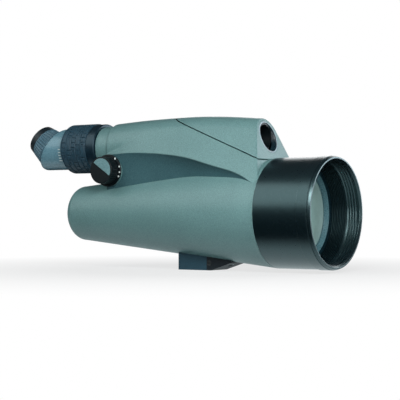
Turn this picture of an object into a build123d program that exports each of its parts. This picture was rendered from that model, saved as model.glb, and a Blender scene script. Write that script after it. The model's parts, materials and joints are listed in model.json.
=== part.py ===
"""Angled spotting scope with a large main objective and a small wide-field objective above it.

Frame: millimetres, +X forward along the objective, +Z up, Y = 0 the plane of symmetry.
The origin is the mouth of the tripod socket, in the middle of the foot's bottom face.
"""
from build123d import *
from math import acos, atan2, cos, degrees, hypot, pi, radians, sin, tan
import os

# ---- driving dimensions ------------------------------------------------------------------
AXIS_Z = 64.5            # objective axis above the tripod foot's face
EYE_Z = 142.5            # zoom and eyepiece axis above the tripod foot's face
RIM_X = 165.0            # front edge of the sun hood
HOOD_LENGTH = 69.7
HOOD_R = 61.0
HOOD_WALL = 4.0
BARREL_REAR_X = -175.0   # where the cone meets the domed end cap
BARREL_REAR_R = 31.75
CAP_LENGTH = 27.0        # depth of the domed end cap
WALL = 2.5               # wall of the moulded casings
REAR_WALL = 2.0          # rear wall of the upper housing
SPIGOT_LENGTH = 12.0
LENS_R = 50.4            # edge radius of the objective lenses
LENS_FRONT_X = 127.0     # front vertex of the objective

HOUSING_REAR_X = -127.0
NECK_LENGTH = 18.0
NECK_R = 25.7
COLLAR_LENGTH = 12.0     # smooth front band of the zoom ring
GRIP_LENGTH = 41.0       # rubber part of the zoom ring
GRIP_R = 29.7
HEAD_R = 24.8
GUIDE_R = 20.0           # outer radius of the slotted guide tube
GUIDE_WALL = 2.0
SLEEVE_WALL = 2.2

ELBOW_X = -227.0         # where the eyepiece axis leaves the zoom axis
ELBOW_Z = 141.5
ELBOW_ANGLE = 35.0       # eyepiece axis above the horizontal, in degrees

KNOB_X = -121.0          # axis of the selector knob, on the right side
KNOB_Z = 114.5
KNOB_R = 15.8
KNOB_HEIGHT = 13.0
KNOB_SEAT_Y = 31.5       # outer face of the knob bosses, from the plane of symmetry
FOCUS_X = -88.0          # axis of the focusing knob, on the left side
FOCUS_SEAT_Y = 34.0      # outer face of the focusing knob's boss
SHAFT_R = 3.0

SMALL_AXIS_Z = 148.9     # small objective above the tripod foot's face
SMALL_BORE_R = 15.6
FACE_SLOPE = 0.3086      # how far the front face leans back per unit of height
FACE_X = 79.5            # front face at the small objective's height

FOOT_WIDTH = 34.0
FOOT_REAR_X = -30.0
FOOT_FRONT_X = 14.0
FAIRING_X = 42.0
SOCKET_R = 3.175         # 1/4-20 tripod thread, major radius
SOCKET_DEPTH = 9.0

FOLD_ANGLE = 30.0        # light path above the horizontal between the two mirrors
REAR_MIRROR_X = -165.0
REAR_MIRROR_R = 22.0
FLIP_MIRROR_R = 14.5
FLIP_REACH = 17.0        # mirror centre from its hinge
CRANK_R = 9.0            # crank pin from its axis, on knob and mirror alike

ZOOM_TURN = 120.0        # degrees of zoom ring travel
FRONT_TRAVEL = 8.0       # travel of the front zoom cell
REAR_TRAVEL = 14.0       # travel of the rear zoom cell
FRONT_CELL_X = -161.0    # pins of the front zoom cell at rest
REAR_CELL_X = -187.0     # pins of the rear zoom cell at rest
PIN_R = 1.2

FOCUS_TRAVEL = 10.0
PINION_R = 6.0
PINION_TEETH = 10

RUN = 0.05               # radial clearance of a running fit
GAP = 0.3                # clearance between separate moving pieces
SLOT_CLEARANCE = 0.1     # each side of a pin in its slot

# ---- worked out from the above -----------------------------------------------------------
HOOD_REAR_X = RIM_X - HOOD_LENGTH
CONE_SLOPE = (HOOD_R - BARREL_REAR_R) / (HOOD_REAR_X - BARREL_REAR_X)
SPIGOT_R = HOOD_R - HOOD_WALL + 0.6
SPIGOT_BORE = SPIGOT_R - WALL
COLLAR_X = HOUSING_REAR_X - NECK_LENGTH
GRIP_X = COLLAR_X - COLLAR_LENGTH
HEAD_X = GRIP_X - GRIP_LENGTH
GUIDE_REAR_X = HEAD_X - 12.0
SLEEVE_R = GUIDE_R + SLEEVE_WALL
ELBOW_RAD = radians(ELBOW_ANGLE)
FOLD_RAD = radians(FOLD_ANGLE)
FLIP_X = REAR_MIRROR_X + (EYE_Z - AXIS_Z) / tan(FOLD_RAD)
REAR_MIRROR_NORMAL = (cos(FOLD_RAD / 2), 0, sin(FOLD_RAD / 2))
MIRROR_UP = (-sin(FOLD_RAD / 2), 0, cos(FOLD_RAD / 2))
HINGE_X = FLIP_X - FLIP_REACH * MIRROR_UP[0]
HINGE_Z = EYE_Z - FLIP_REACH * MIRROR_UP[2]
EYE_DIR = (-cos(ELBOW_RAD), 0, sin(ELBOW_RAD))
FORWARD = (1, 0, 0)
LEFT = (0, 1, 0)
UP = (0, 0, 1)

# Sections of the upper housing: X, top Z, radius of the rounded top, then half-width and
# height of the lower lip, then half-width and height of the foot inside the barrel wall.
HOUSING_SECTIONS = [
    (-127.0, 170.8, 27.5, 29.5, 133.5, 26.0, 92.0),
    (-85.0, 173.3, 27.5, 34.0, 134.5, 26.0, 96.0),
    (-47.0, 174.5, 27.0, 38.0, 132.5, 26.5, 100.0),
    (-7.0, 174.9, 26.0, 42.0, 127.5, 28.5, 102.0),
    (32.0, 173.1, 25.0, 45.0, 117.5, 36.0, 101.5),
    (70.0, 170.0, 24.0, 47.5, 106.5, 44.0, 98.0),
    (98.0, 168.0, 23.0, 53.0, 92.0, 51.5, 84.0),
]
SEAM_X = 84.0            # the cover's seam meets the front face here
SEAM_Z = 125.1
SEAM_SLOPE = 0.39        # fall of the seam per unit of length, towards the front
SEAM_GAP = 0.3

PARTS = {}


# ---- helpers -----------------------------------------------------------------------------
def turned(outline, at, along):
    """Solid of revolution: outline is (distance along the axis, radius) points."""
    corners = [(r, 0, s) for s, r in outline]
    profile = Face(Wire(Polyline(*corners, close=True).edges()))
    return Plane(origin=at, z_dir=along) * revolve(profile, Axis.Z)


def rod(radius, length, at, along):
    """Cylinder that starts at a point and runs along a direction."""
    return Plane(origin=at, z_dir=along) * Cylinder(
        radius, length, align=(Align.CENTER, Align.CENTER, Align.MIN))


def ring(outer, inner, start, end, at, along):
    """Plain tube between two distances along an axis."""
    return turned([(start, inner), (start, outer), (end, outer), (end, inner)], at, along)


def block(x0, x1, y0, y1, z0, z1):
    """Box from its lowest and highest corners."""
    return Pos((x0 + x1) / 2, (y0 + y1) / 2, (z0 + z1) / 2) * Box(x1 - x0, y1 - y0, z1 - z0)


def lens(front_r, back_r, thickness, radius, at, along):
    """Lens with spherical faces; a positive radius bulges forwards, 0 is flat."""
    def sag(curve, r):
        return 0.0 if curve == 0 else abs(curve) / curve * (abs(curve) - (curve ** 2 - r * r) ** 0.5)

    def face_edge(curve, vertex):
        rim = (radius, 0, vertex - sag(curve, radius))
        if curve == 0:
            return Line((0, 0, vertex), rim)
        middle = (radius / 2, 0, vertex - sag(curve, radius / 2))
        return ThreePointArc((0, 0, vertex), middle, rim)

    front = face_edge(front_r, 0.0)
    back = face_edge(back_r, -thickness)
    side = Line(front @ 1, back @ 1)
    core = Line(back @ 0, front @ 0)
    profile = Face(Wire([front, side, back, core]))
    return Plane(origin=at, z_dir=along) * revolve(profile, Axis.Z)


def group(pieces):
    """Separate solids that share one node."""
    return Compound(children=[solid for piece in pieces for solid in piece.solids()])


def on_axis(x, z=AXIS_Z):
    """Point in the plane of symmetry."""
    return (x, 0, z)


def cone_radius(x):
    """Outer radius of the barrel's cone at X."""
    return HOOD_R - (HOOD_REAR_X - x) * CONE_SLOPE


def eye_point(distance):
    """Point on the slanted eyepiece axis."""
    return (ELBOW_X + distance * EYE_DIR[0], 0, ELBOW_Z + distance * EYE_DIR[2])


# ---- barrel ------------------------------------------------------------------------------
def barrel_cone(inset):
    """Solid cone of the barrel, moved in by a wall thickness."""
    return turned([(BARREL_REAR_X, 0), (BARREL_REAR_X, BARREL_REAR_R - inset),
                   (HOOD_REAR_X, HOOD_R - inset), (HOOD_REAR_X, 0)], (0, 0, AXIS_Z), FORWARD)


def beam_slot():
    """Opening in the barrel's top, inside the housing, that the folded light passes."""
    return block(HOUSING_REAR_X + REAR_WALL, 10.0, -22.0, 22.0, AXIS_Z + 15.0, AXIS_Z + 60.0)


def make_barrel():
    shell = barrel_cone(0) - barrel_cone(WALL)
    spigot = ring(SPIGOT_R, SPIGOT_BORE, HOOD_REAR_X, HOOD_REAR_X + SPIGOT_LENGTH,
                  (0, 0, AXIS_Z), FORWARD)
    shoulder = ring(HOOD_R - 1.0, SPIGOT_BORE, HOOD_REAR_X - 4.0, HOOD_REAR_X,
                    (0, 0, AXIS_Z), FORWARD)
    shell = shell + spigot + shoulder
    shell -= beam_slot()
    for x in FOOT_SCREW_X:
        shell -= rod(2.0, 20.0, (x, 0, AXIS_Z - cone_radius(x) - 5.0), UP)
    return shell


def make_end_cap():
    """Half-ellipsoid dome with a skirt that slips into the barrel."""
    def dome(radius, depth):
        angles = [radians(a) for a in (0, 22.5, 45, 67.5, 90)]
        points = [(radius * cos(a), depth * sin(a)) for a in angles]
        arc = Spline(*points, tangents=[(0, 1), (-1, 0)])
        outline = Wire([Line((0, 0), arc @ 0), arc, Line(arc @ 1, (0, 0))])
        profile = Plane.XZ * Face(outline)
        return Plane(origin=on_axis(BARREL_REAR_X), z_dir=(-1, 0, 0)) * revolve(profile, Axis.Z)

    skirt_r = BARREL_REAR_R - WALL
    bore_r = skirt_r - 2.0
    cap = dome(BARREL_REAR_R, CAP_LENGTH) + rod(skirt_r, CAP_SKIRT, on_axis(BARREL_REAR_X), FORWARD)
    cap -= dome(bore_r, CAP_LENGTH - WALL)
    return cap - rod(bore_r, CAP_SKIRT, on_axis(BARREL_REAR_X), FORWARD)


CAP_SKIRT = 5.0
FOOT_SCREW_X = (-22.0, 30.0)


def make_baffle(x, aperture):
    """Thin blackened disc with a sharp aperture, a press fit in the barrel."""
    edge = cone_radius(x) - WALL
    return turned([(0, aperture), (0, edge), (1.5, edge + 1.5 * CONE_SLOPE), (1.5, aperture + 1.0)],
                  on_axis(x), FORWARD)


# ---- sun hood ----------------------------------------------------------------------------
RIM_LENGTH = 17.0
RIM_PROUD = 0.6
RIM_LAP = 6.0            # length of the hood's spigot inside the rim ring
RIM_BORE = 56.4
GROOVE_PITCH = 4.0
GROOVE_DEPTH = 0.8


def make_sun_hood():
    """Plain tube with light-trap grooves turned in its bore."""
    bore = HOOD_R - HOOD_WALL
    tube = ring(HOOD_R, bore, HOOD_REAR_X, RIM_X - RIM_LENGTH, (0, 0, AXIS_Z), FORWARD)
    tube += ring(HOOD_R - 1.8, bore, RIM_X - RIM_LENGTH, RIM_X - RIM_LENGTH + RIM_LAP,
                 (0, 0, AXIS_Z), FORWARD)
    tube -= ring(SPIGOT_R, bore - 1.0, HOOD_REAR_X, HOOD_REAR_X + SPIGOT_LENGTH,
                 (0, 0, AXIS_Z), FORWARD)
    first = HOOD_REAR_X + SPIGOT_LENGTH + 2.0
    count = int((RIM_X - RIM_LENGTH - first) / GROOVE_PITCH)
    for i in range(count):
        x = first + i * GROOVE_PITCH
        tube -= turned([(x, bore - 1.0), (x, bore + GROOVE_DEPTH), (x + 2.0, bore - 1.0)],
                       (0, 0, AXIS_Z), FORWARD)
    return tube


def make_rim_ring():
    """Slightly proud front ring with a groove and a bevelled lip."""
    rear = RIM_X - RIM_LENGTH
    lap = rear + RIM_LAP
    outer = HOOD_R + RIM_PROUD
    return turned([(rear, HOOD_R - 1.8), (rear, outer), (RIM_X - 4.0, outer),
                   (RIM_X - 3.4, outer - 0.8), (RIM_X - 2.8, outer - 0.2), (RIM_X, outer - 1.4),
                   (RIM_X, RIM_BORE + 1.2), (RIM_X - 1.6, RIM_BORE), (lap, RIM_BORE),
                   (lap, HOOD_R - 1.8)], (0, 0, AXIS_Z), FORWARD)


# ---- main objective ----------------------------------------------------------------------
CELL_WALL = 3.0
CROWN_THICK = 14.0
FLINT_THICK = 6.0
SPACER_THICK = 0.6
CROWN_FRONT_R = 300.0
CROWN_BACK_R = -220.0
FLINT_FRONT_R = -225.0
FLINT_BACK_R = -800.0
SEAT_LIP = 3.0           # how far rings and ledges reach over the glass
CELL_REAR_X = 93.0


def sagitta(curve, r):
    """Depth of a spherical face at radius r."""
    return abs(curve) - (curve * curve - r * r) ** 0.5


CROWN_EDGE_X = LENS_FRONT_X - sagitta(CROWN_FRONT_R, LENS_R)
CROWN_REAR_X = LENS_FRONT_X - CROWN_THICK
CROWN_REAR_EDGE_X = CROWN_REAR_X + sagitta(CROWN_BACK_R, LENS_R)
FLINT_FRONT_EDGE_X = CROWN_REAR_EDGE_X - SPACER_THICK
FLINT_FRONT_X = FLINT_FRONT_EDGE_X - sagitta(FLINT_FRONT_R, LENS_R)
FLINT_REAR_X = FLINT_FRONT_X - FLINT_THICK
FLINT_REAR_EDGE_X = FLINT_REAR_X + sagitta(FLINT_BACK_R, LENS_R)


def make_objective_cell():
    """Cell that screws into the barrel's spigot and holds both lenses."""
    inner = LENS_R + RUN
    outer = inner + CELL_WALL
    front = LENS_FRONT_X + 1.5
    collar_x = HOOD_REAR_X + SPIGOT_LENGTH
    return turned([(CELL_REAR_X, LENS_R - SEAT_LIP), (CELL_REAR_X, SPIGOT_BORE),
                   (collar_x, SPIGOT_BORE), (collar_x, SPIGOT_R - 1.5),
                   (collar_x + 3.0, SPIGOT_R - 1.5), (collar_x + 3.0, outer), (front - 1.0, outer),
                   (front, outer - 1.0), (front, inner), (FLINT_REAR_EDGE_X, inner),
                   (FLINT_REAR_X + sagitta(FLINT_BACK_R, LENS_R - SEAT_LIP), LENS_R - SEAT_LIP)],
                  (0, 0, AXIS_Z), FORWARD)


def make_crown_lens():
    return lens(CROWN_FRONT_R, CROWN_BACK_R, CROWN_THICK, LENS_R, on_axis(LENS_FRONT_X), FORWARD)


def make_flint_lens():
    return lens(FLINT_FRONT_R, FLINT_BACK_R, FLINT_THICK, LENS_R, on_axis(FLINT_FRONT_X), FORWARD)


def make_lens_spacer():
    inner = LENS_R - 1.5
    crown_inner = CROWN_REAR_X + sagitta(CROWN_BACK_R, inner)
    flint_inner = FLINT_FRONT_X + sagitta(FLINT_FRONT_R, inner)
    return turned([(crown_inner - RUN, inner), (CROWN_REAR_EDGE_X - RUN, LENS_R),
                   (FLINT_FRONT_EDGE_X, LENS_R), (flint_inner, inner)],
                  (0, 0, AXIS_Z), FORWARD)


def make_retaining_ring():
    """Threaded ring with a bevelled, stepped inner face, in front of the crown lens."""
    lip_r = LENS_R - SEAT_LIP
    seat = LENS_FRONT_X - sagitta(CROWN_FRONT_R, lip_r) + RUN
    return turned([(CROWN_EDGE_X + RUN, LENS_R), (LENS_FRONT_X + 1.5, LENS_R),
                   (LENS_FRONT_X + 1.5, LENS_R - 0.8), (seat + 0.8, lip_r), (seat, lip_r)],
                  (0, 0, AXIS_Z), FORWARD)


# ---- folding mirrors ---------------------------------------------------------------------
MIRROR_THICK = 6.0


def rear_mirror_point(back):
    """Point behind the rear mirror's face, along its normal."""
    return (REAR_MIRROR_X - back * REAR_MIRROR_NORMAL[0], 0, AXIS_Z - back * REAR_MIRROR_NORMAL[2])


def make_rear_mirror():
    return rod(REAR_MIRROR_R, MIRROR_THICK, rear_mirror_point(MIRROR_THICK), REAR_MIRROR_NORMAL)


def make_mirror_cell():
    """Cup that holds the rear mirror, with a flange that seats in the end cap's skirt."""
    cup = ring(REAR_MIRROR_R + 1.6, 0, -MIRROR_THICK - 3.0, 1.0, rear_mirror_point(0),
               REAR_MIRROR_NORMAL)
    cup -= ring(REAR_MIRROR_R, 0, -MIRROR_THICK, 2.0, rear_mirror_point(0), REAR_MIRROR_NORMAL)
    flange = ring(BARREL_REAR_R - WALL - 2.0, REAR_MIRROR_R - 4.0, 0, 5.0, on_axis(BARREL_REAR_X),
                  FORWARD)
    front_clear = rod(REAR_MIRROR_R, 40.0, rear_mirror_point(MIRROR_THICK), REAR_MIRROR_NORMAL)
    return (cup + flange) - front_clear


def make_mirror_screws():
    """Three adjusting screws that bear on the back of the mirror cell."""
    screws = []
    back = rear_mirror_point(MIRROR_THICK + 3.0)
    away = tuple(-n for n in REAR_MIRROR_NORMAL)
    plane = Plane(origin=back, z_dir=away)
    for k in range(3):
        angle = radians(90 + 120 * k)
        foot = plane.from_local_coords(Vector(11.0 * cos(angle), 11.0 * sin(angle), 0))
        screws.append(rod(1.5, 7.0, foot, away) + rod(2.8, 2.2, foot + Vector(*away) * 4.0, away))
    return group(screws)


def make_flip_frame():
    """Frame on a cross shaft that carries the flip mirror, with a crank arm on its right end."""
    up = Vector(*MIRROR_UP)
    normal = Vector(*REAR_MIRROR_NORMAL)
    hinge = Vector(HINGE_X, 0, HINGE_Z)
    plane = Plane(origin=(FLIP_X, 0, EYE_Z), x_dir=LEFT, z_dir=normal)
    plate = plane * Pos(0, 0, FLIP_THICK / 2 + 0.5) * Box(
        2 * FLIP_MIRROR_R + 5.0, 2 * FLIP_MIRROR_R + 5.0, FLIP_THICK + 1.0)
    pocket = plane * Cylinder(FLIP_MIRROR_R, FLIP_THICK,
                              align=(Align.CENTER, Align.CENTER, Align.MIN))
    shaft = rod(FLIP_SHAFT_R, CRANK_Y + EAR_Y + EAR_THICK, hinge - Vector(0, CRANK_Y, 0), LEFT)
    pin_at = hinge + Vector(*CRANK_DIR) * CRANK_R
    inner_y = -CRANK_Y + CRANK_THICK
    crank = rod(4.0, CRANK_THICK, hinge - Vector(0, CRANK_Y, 0), LEFT)
    crank += rod(3.0, CRANK_THICK, pin_at - Vector(0, CRANK_Y, 0), LEFT)
    crank += slab_between(hinge, pin_at, 5.0, -CRANK_Y, inner_y)
    pin = rod(PIN_R, LINK_THICK + GAP, pin_at - Vector(0, CRANK_Y + LINK_THICK + GAP, 0), LEFT)
    boss = rod(4.2, 2 * FLIP_MIRROR_R, hinge - Vector(0, FLIP_MIRROR_R, 0), LEFT)
    return (plate + boss) - pocket + shaft + crank + pin


FLIP_THICK = 4.0
FLIP_SHAFT_R = 2.0
EAR_THICK = 1.5
CRANK_THICK = 1.3
LINK_THICK = 1.5
EAR_Y = FLIP_MIRROR_R + 2.5 + GAP        # inner face of the bracket's ears
CRANK_Y = EAR_Y + EAR_THICK + GAP + CRANK_THICK
LINK_Y = CRANK_Y + GAP + LINK_THICK      # outer face of the link rod
CRANK_REST = radians(-4.0)   # crank pins from the horizontal, at rest
CRANK_DIR = (cos(CRANK_REST), 0.0, sin(CRANK_REST))
LINK_END_R = 2.6


def slab_between(start, end, width, y0, y1):
    """Flat bar in an XZ plane between two axes."""
    dx = end.X - start.X
    dz = end.Z - start.Z
    length = hypot(dx, dz)
    bar = Box(length, y1 - y0, width)
    middle = Vector((start.X + end.X) / 2, (y0 + y1) / 2, (start.Z + end.Z) / 2)
    return Location(middle, (0, -degrees(atan2(dz, dx)), 0)) * bar


def make_flip_bracket():
    """U-shaped bracket on the barrel's crown; its two ears carry the flip frame's shaft."""
    outer_y = EAR_Y + EAR_THICK
    base = block(BRACKET_X, BRACKET_END_X, -outer_y, outer_y, BRACKET_Z - 2.0, BRACKET_Z)
    base += block(BRACKET_END_X - 12.0, BRACKET_END_X, -outer_y, outer_y, BRACKET_Z - 12.0, BRACKET_Z)
    for y0 in (-outer_y, EAR_Y):
        base += block(BRACKET_X, HINGE_X + 5.0, y0, y0 + EAR_THICK, BRACKET_Z - 1.0, HINGE_Z)
        base += rod(5.0, EAR_THICK, (HINGE_X, y0, HINGE_Z), LEFT)
    base -= rod(FLIP_SHAFT_R + RUN, 4 * EAR_Y, (HINGE_X, -2 * EAR_Y, HINGE_Z), LEFT)
    return base - barrel_cone(0)


BRACKET_X = HINGE_X - 5.0
BRACKET_END_X = 26.0
BRACKET_Z = HINGE_Z - 6.5


def make_flip_mirror():
    return rod(FLIP_MIRROR_R, FLIP_THICK, (FLIP_X, 0, EYE_Z), REAR_MIRROR_NORMAL)


def crank_pin(x, z):
    """Centre of a crank pin for an axis at X, Z."""
    return Vector(x + CRANK_R * CRANK_DIR[0], 0, z + CRANK_R * CRANK_DIR[2])


def make_link_rod():
    """Flat push rod between the knob's crank and the flip frame's crank."""
    start = crank_pin(KNOB_X, KNOB_Z)
    end = crank_pin(HINGE_X, HINGE_Z)
    y0 = -LINK_Y
    y1 = y0 + LINK_THICK
    bar = slab_between(start, end, 4.0, y0, y1)
    for at in (start, end):
        bar += rod(LINK_END_R, LINK_THICK, Vector(at.X, y0, at.Z), LEFT)
        bar -= rod(PIN_R + RUN, 3 * LINK_THICK, Vector(at.X, y0 - LINK_THICK, at.Z), LEFT)
    return bar


# ---- objective selector ------------------------------------------------------------------
INLAY_DEPTH = 1.0
INLAY_R = KNOB_R - 1.6


def make_selector_knob():
    """Round knob with a recess for the half-moon pointer."""
    face_y = -KNOB_SEAT_Y - KNOB_HEIGHT
    knob = turned([(0.0, 0), (0.0, KNOB_R - 1.0), (1.0, KNOB_R), (KNOB_HEIGHT - 0.8, KNOB_R),
                   (KNOB_HEIGHT, KNOB_R - 0.8), (KNOB_HEIGHT, 0)],
                  (KNOB_X, face_y - GAP, KNOB_Z), LEFT)
    knob -= half_moon(face_y - GAP - 0.01, INLAY_DEPTH + 0.01, 0.0)
    return knob


def half_moon(y, depth, clearance):
    """Segment under half a disc, above a chord that slopes down to the right."""
    disc = rod(INLAY_R - clearance, depth, (KNOB_X, y, KNOB_Z), LEFT)
    chord = Location((KNOB_X, y + depth / 2, KNOB_Z), (0, INLAY_TILT, 0))
    keep = chord * Pos(0, 0, INLAY_R + INLAY_CHORD + clearance) * Box(
        3 * INLAY_R, 2 * depth, 2 * INLAY_R)
    return disc & keep


INLAY_TILT = 38.0        # slope of the pointer's straight edge, in degrees
INLAY_CHORD = 1.0        # straight edge from the knob's centre


def make_selector_inlay():
    return half_moon(-KNOB_SEAT_Y - KNOB_HEIGHT - GAP + 0.3, INLAY_DEPTH - 0.3, 0.0)


def make_selector_shaft():
    """Shaft behind the knob, with the crank that pushes the link rod."""
    axis = Vector(KNOB_X, 0, KNOB_Z)
    inner_y = LINK_Y + GAP
    outer_y = inner_y + CRANK_THICK
    shaft = rod(SHAFT_R, KNOB_SEAT_Y + GAP - inner_y, axis - Vector(0, KNOB_SEAT_Y + GAP, 0), LEFT)
    pin_at = crank_pin(KNOB_X, KNOB_Z)
    crank = rod(4.0, CRANK_THICK, axis - Vector(0, outer_y, 0), LEFT)
    crank += slab_between(axis, pin_at, 4.0, -outer_y, -inner_y)
    crank += rod(2.2, CRANK_THICK, pin_at - Vector(0, outer_y, 0), LEFT)
    pin = rod(PIN_R, LINK_THICK + GAP, pin_at - Vector(0, inner_y, 0), LEFT)
    return shaft + crank + pin


SCALE_R = 19.0
SCALE_THICK = 1.5


def make_scale_ring():
    """Thin index ring on the boss, under the selector knob."""
    return ring(SCALE_R, KNOB_R - 6.0, 0, SCALE_THICK, (KNOB_X, -KNOB_SEAT_Y, KNOB_Z), LEFT)


# ---- focusing ----------------------------------------------------------------------------
FOCUS_KNOB_R = 14.0
RACK_Y = 20.5            # inner face of the rack
RACK_WIDTH = 3.0
FOCUS_CELL_X = -98.0     # middle of the focusing cell at rest
FOCUS_CELL_LENGTH = 10.0
FOCUS_CELL_R = 13.0
RAIL_R = 1.5
RAIL_Y = 17.0
RAIL_Z = 8.0             # guide rails above the eyepiece axis
PINION_Z = KNOB_Z
PITCH = 2 * pi * PINION_R / PINION_TEETH


def tooth_outline(half_root, half_tip, base, height):
    """Trapezoid tooth, standing up from its base line."""
    return [(-half_root, base), (-half_tip, base + height), (half_tip, base + height),
            (half_root, base)]


def make_focus_shaft():
    """Shaft of the focusing knob with its pinion."""
    at = Vector(FOCUS_X, 0, PINION_Z)
    shaft = rod(SHAFT_R, FOCUS_SEAT_Y + GAP - RACK_Y, at + Vector(0, RACK_Y, 0), LEFT)
    core = rod(PINION_R - 1.2, RACK_WIDTH, at + Vector(0, RACK_Y, 0), LEFT)
    pinion = core
    for k in range(PINION_TEETH):
        tooth = extrude(Plane.XZ * make_face(Polyline(
            *tooth_outline(1.0, 0.45, PINION_R - 1.6, 2.4), close=True)), -RACK_WIDTH)
        turn = Rotation(0, 360.0 * k / PINION_TEETH, 0)
        pinion += Pos(at.X, RACK_Y, at.Z) * turn * tooth
    return shaft + pinion


def make_focus_carriage():
    """Cell on two rails with a toothed rack that hangs down on the left."""
    cell = ring(FOCUS_CELL_R, FOCUS_CELL_R - 2.0, -FOCUS_CELL_LENGTH / 2, FOCUS_CELL_LENGTH / 2,
                (FOCUS_CELL_X, 0, EYE_Z), FORWARD)
    for side in (-1, 1):
        lug = block(FOCUS_CELL_X - FOCUS_CELL_LENGTH / 2, FOCUS_CELL_X + FOCUS_CELL_LENGTH / 2,
                    min(side * 9.5, side * (RAIL_Y + 3.0)), max(side * 9.5, side * (RAIL_Y + 3.0)),
                    EYE_Z + RAIL_Z - 3.0, EYE_Z + RAIL_Z + 3.0)
        cell += lug
        cell -= rod(RAIL_R + RUN, 40.0, (FOCUS_CELL_X - 20.0, side * RAIL_Y, EYE_Z + RAIL_Z), FORWARD)
    cell -= rod(FOCUS_CELL_R - 2.0, 40.0, (FOCUS_CELL_X - 20.0, 0, EYE_Z), FORWARD)
    pitch_z = PINION_Z + PINION_R
    arm = block(FOCUS_CELL_X - FOCUS_CELL_LENGTH / 2, FOCUS_CELL_X + FOCUS_CELL_LENGTH / 2,
                RACK_Y - 3.0, RACK_Y, pitch_z + 1.6, EYE_Z + RAIL_Z + 3.0)
    arm -= rod(RAIL_R + RUN, 40.0, (FOCUS_CELL_X - 20.0, RAIL_Y, EYE_Z + RAIL_Z), FORWARD)
    cell += arm
    first = FOCUS_X + PITCH / 2 - PITCH * RACK_BACK
    last = first + PITCH * (RACK_TEETH - 1)
    rack = block(first - PITCH / 2, last + PITCH / 2, RACK_Y - 3.0, RACK_Y + RACK_WIDTH,
                 pitch_z + 1.6, pitch_z + 4.5)
    for k in range(RACK_TEETH):
        outline = [(first + k * PITCH + dx, pitch_z + 1.7 - dz)
                   for dx, dz in ((-1.0, 0), (-0.45, 2.5), (0.45, 2.5), (1.0, 0))]
        rack += Pos(0, RACK_Y + RACK_WIDTH, 0) * extrude(
            Plane.XZ * make_face(Polyline(*outline, close=True)), RACK_WIDTH)
    return cell + rack


RACK_TEETH = 8
RACK_BACK = 5            # rack teeth behind the pinion at rest


def make_focus_rails():
    """Two ground rods between the housing's rear wall and the front rail bracket."""
    start = HOUSING_REAR_X + REAR_WALL
    return group([rod(RAIL_R, RAIL_END_X - start, (start, side * RAIL_Y, EYE_Z + RAIL_Z), FORWARD)
                  for side in (-1, 1)])


RAIL_END_X = -62.0


def make_rail_bracket():
    """Arched bracket under the housing's roof that holds the rails' front ends."""
    bracket = ring(27.0, 14.5, 0, 3.0, (RAIL_END_X - 3.0, 0, EYE_Z), FORWARD)
    bracket &= block(RAIL_END_X - 4.0, RAIL_END_X + 1.0, -30, 30, EYE_Z + 3.0, EYE_Z + 40)
    bracket &= housing_loft(WALL)
    for side in (-1, 1):
        bracket -= rod(RAIL_R, 10.0, (RAIL_END_X - 5.0, side * RAIL_Y, EYE_Z + RAIL_Z), FORWARD)
    return bracket


# ---- upper housing -----------------------------------------------------------------------
def housing_section(row, inset):
    """Closed outline: rounded top, two flanks down to the lip, undercut to the foot."""
    x, top_z, top_r, lip_y, lip_z, foot_y, foot_z = row
    centre_z = top_z - top_r
    radius = top_r - inset
    lip = (lip_y - inset * 1.15, lip_z)
    foot = (foot_y - inset, foot_z - (0 if inset == 0 else 2.0))
    reach = hypot(lip[0], lip[1] - centre_z)
    angle = atan2(lip[1] - centre_z, lip[0]) + acos(min(1.0, radius / reach))
    shoulder = (radius * cos(angle), centre_z + radius * sin(angle))

    def right(point):
        return (x, -point[0], point[1])

    def left(point):
        return (x, point[0], point[1])

    crown = ThreePointArc(right(shoulder), (x, 0, centre_z + radius), left(shoulder))
    walls = Polyline(left(shoulder), left(lip), left(foot), right(foot), right(lip), right(shoulder))
    return Wire([crown] + list(walls.edges()))


def housing_loft(inset):
    """Solid through the housing's sections, moved in by a wall thickness."""
    wires = [housing_section(row, inset) for row in HOUSING_SECTIONS]
    return Solid.make_loft(wires)


def ahead_of_face(shift):
    """Half-space in front of the slanted face, moved back by shift."""
    slope = atan2(FACE_SLOPE, 1.0)
    pivot = Location((FACE_X - shift, 0, SMALL_AXIS_Z), (0, -degrees(slope), 0))
    return pivot * Pos(60, 0, 0) * Box(120, 200, 300)


def above_seam(shift):
    """Half-space above the cover's sloping seam, moved up by shift."""
    slope = degrees(atan2(SEAM_SLOPE, 1.0))
    pivot = Location((SEAM_X, 0, SEAM_Z + shift), (0, slope, 0))
    return pivot * Pos(0, 0, 60) * Box(600, 200, 120)


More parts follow.
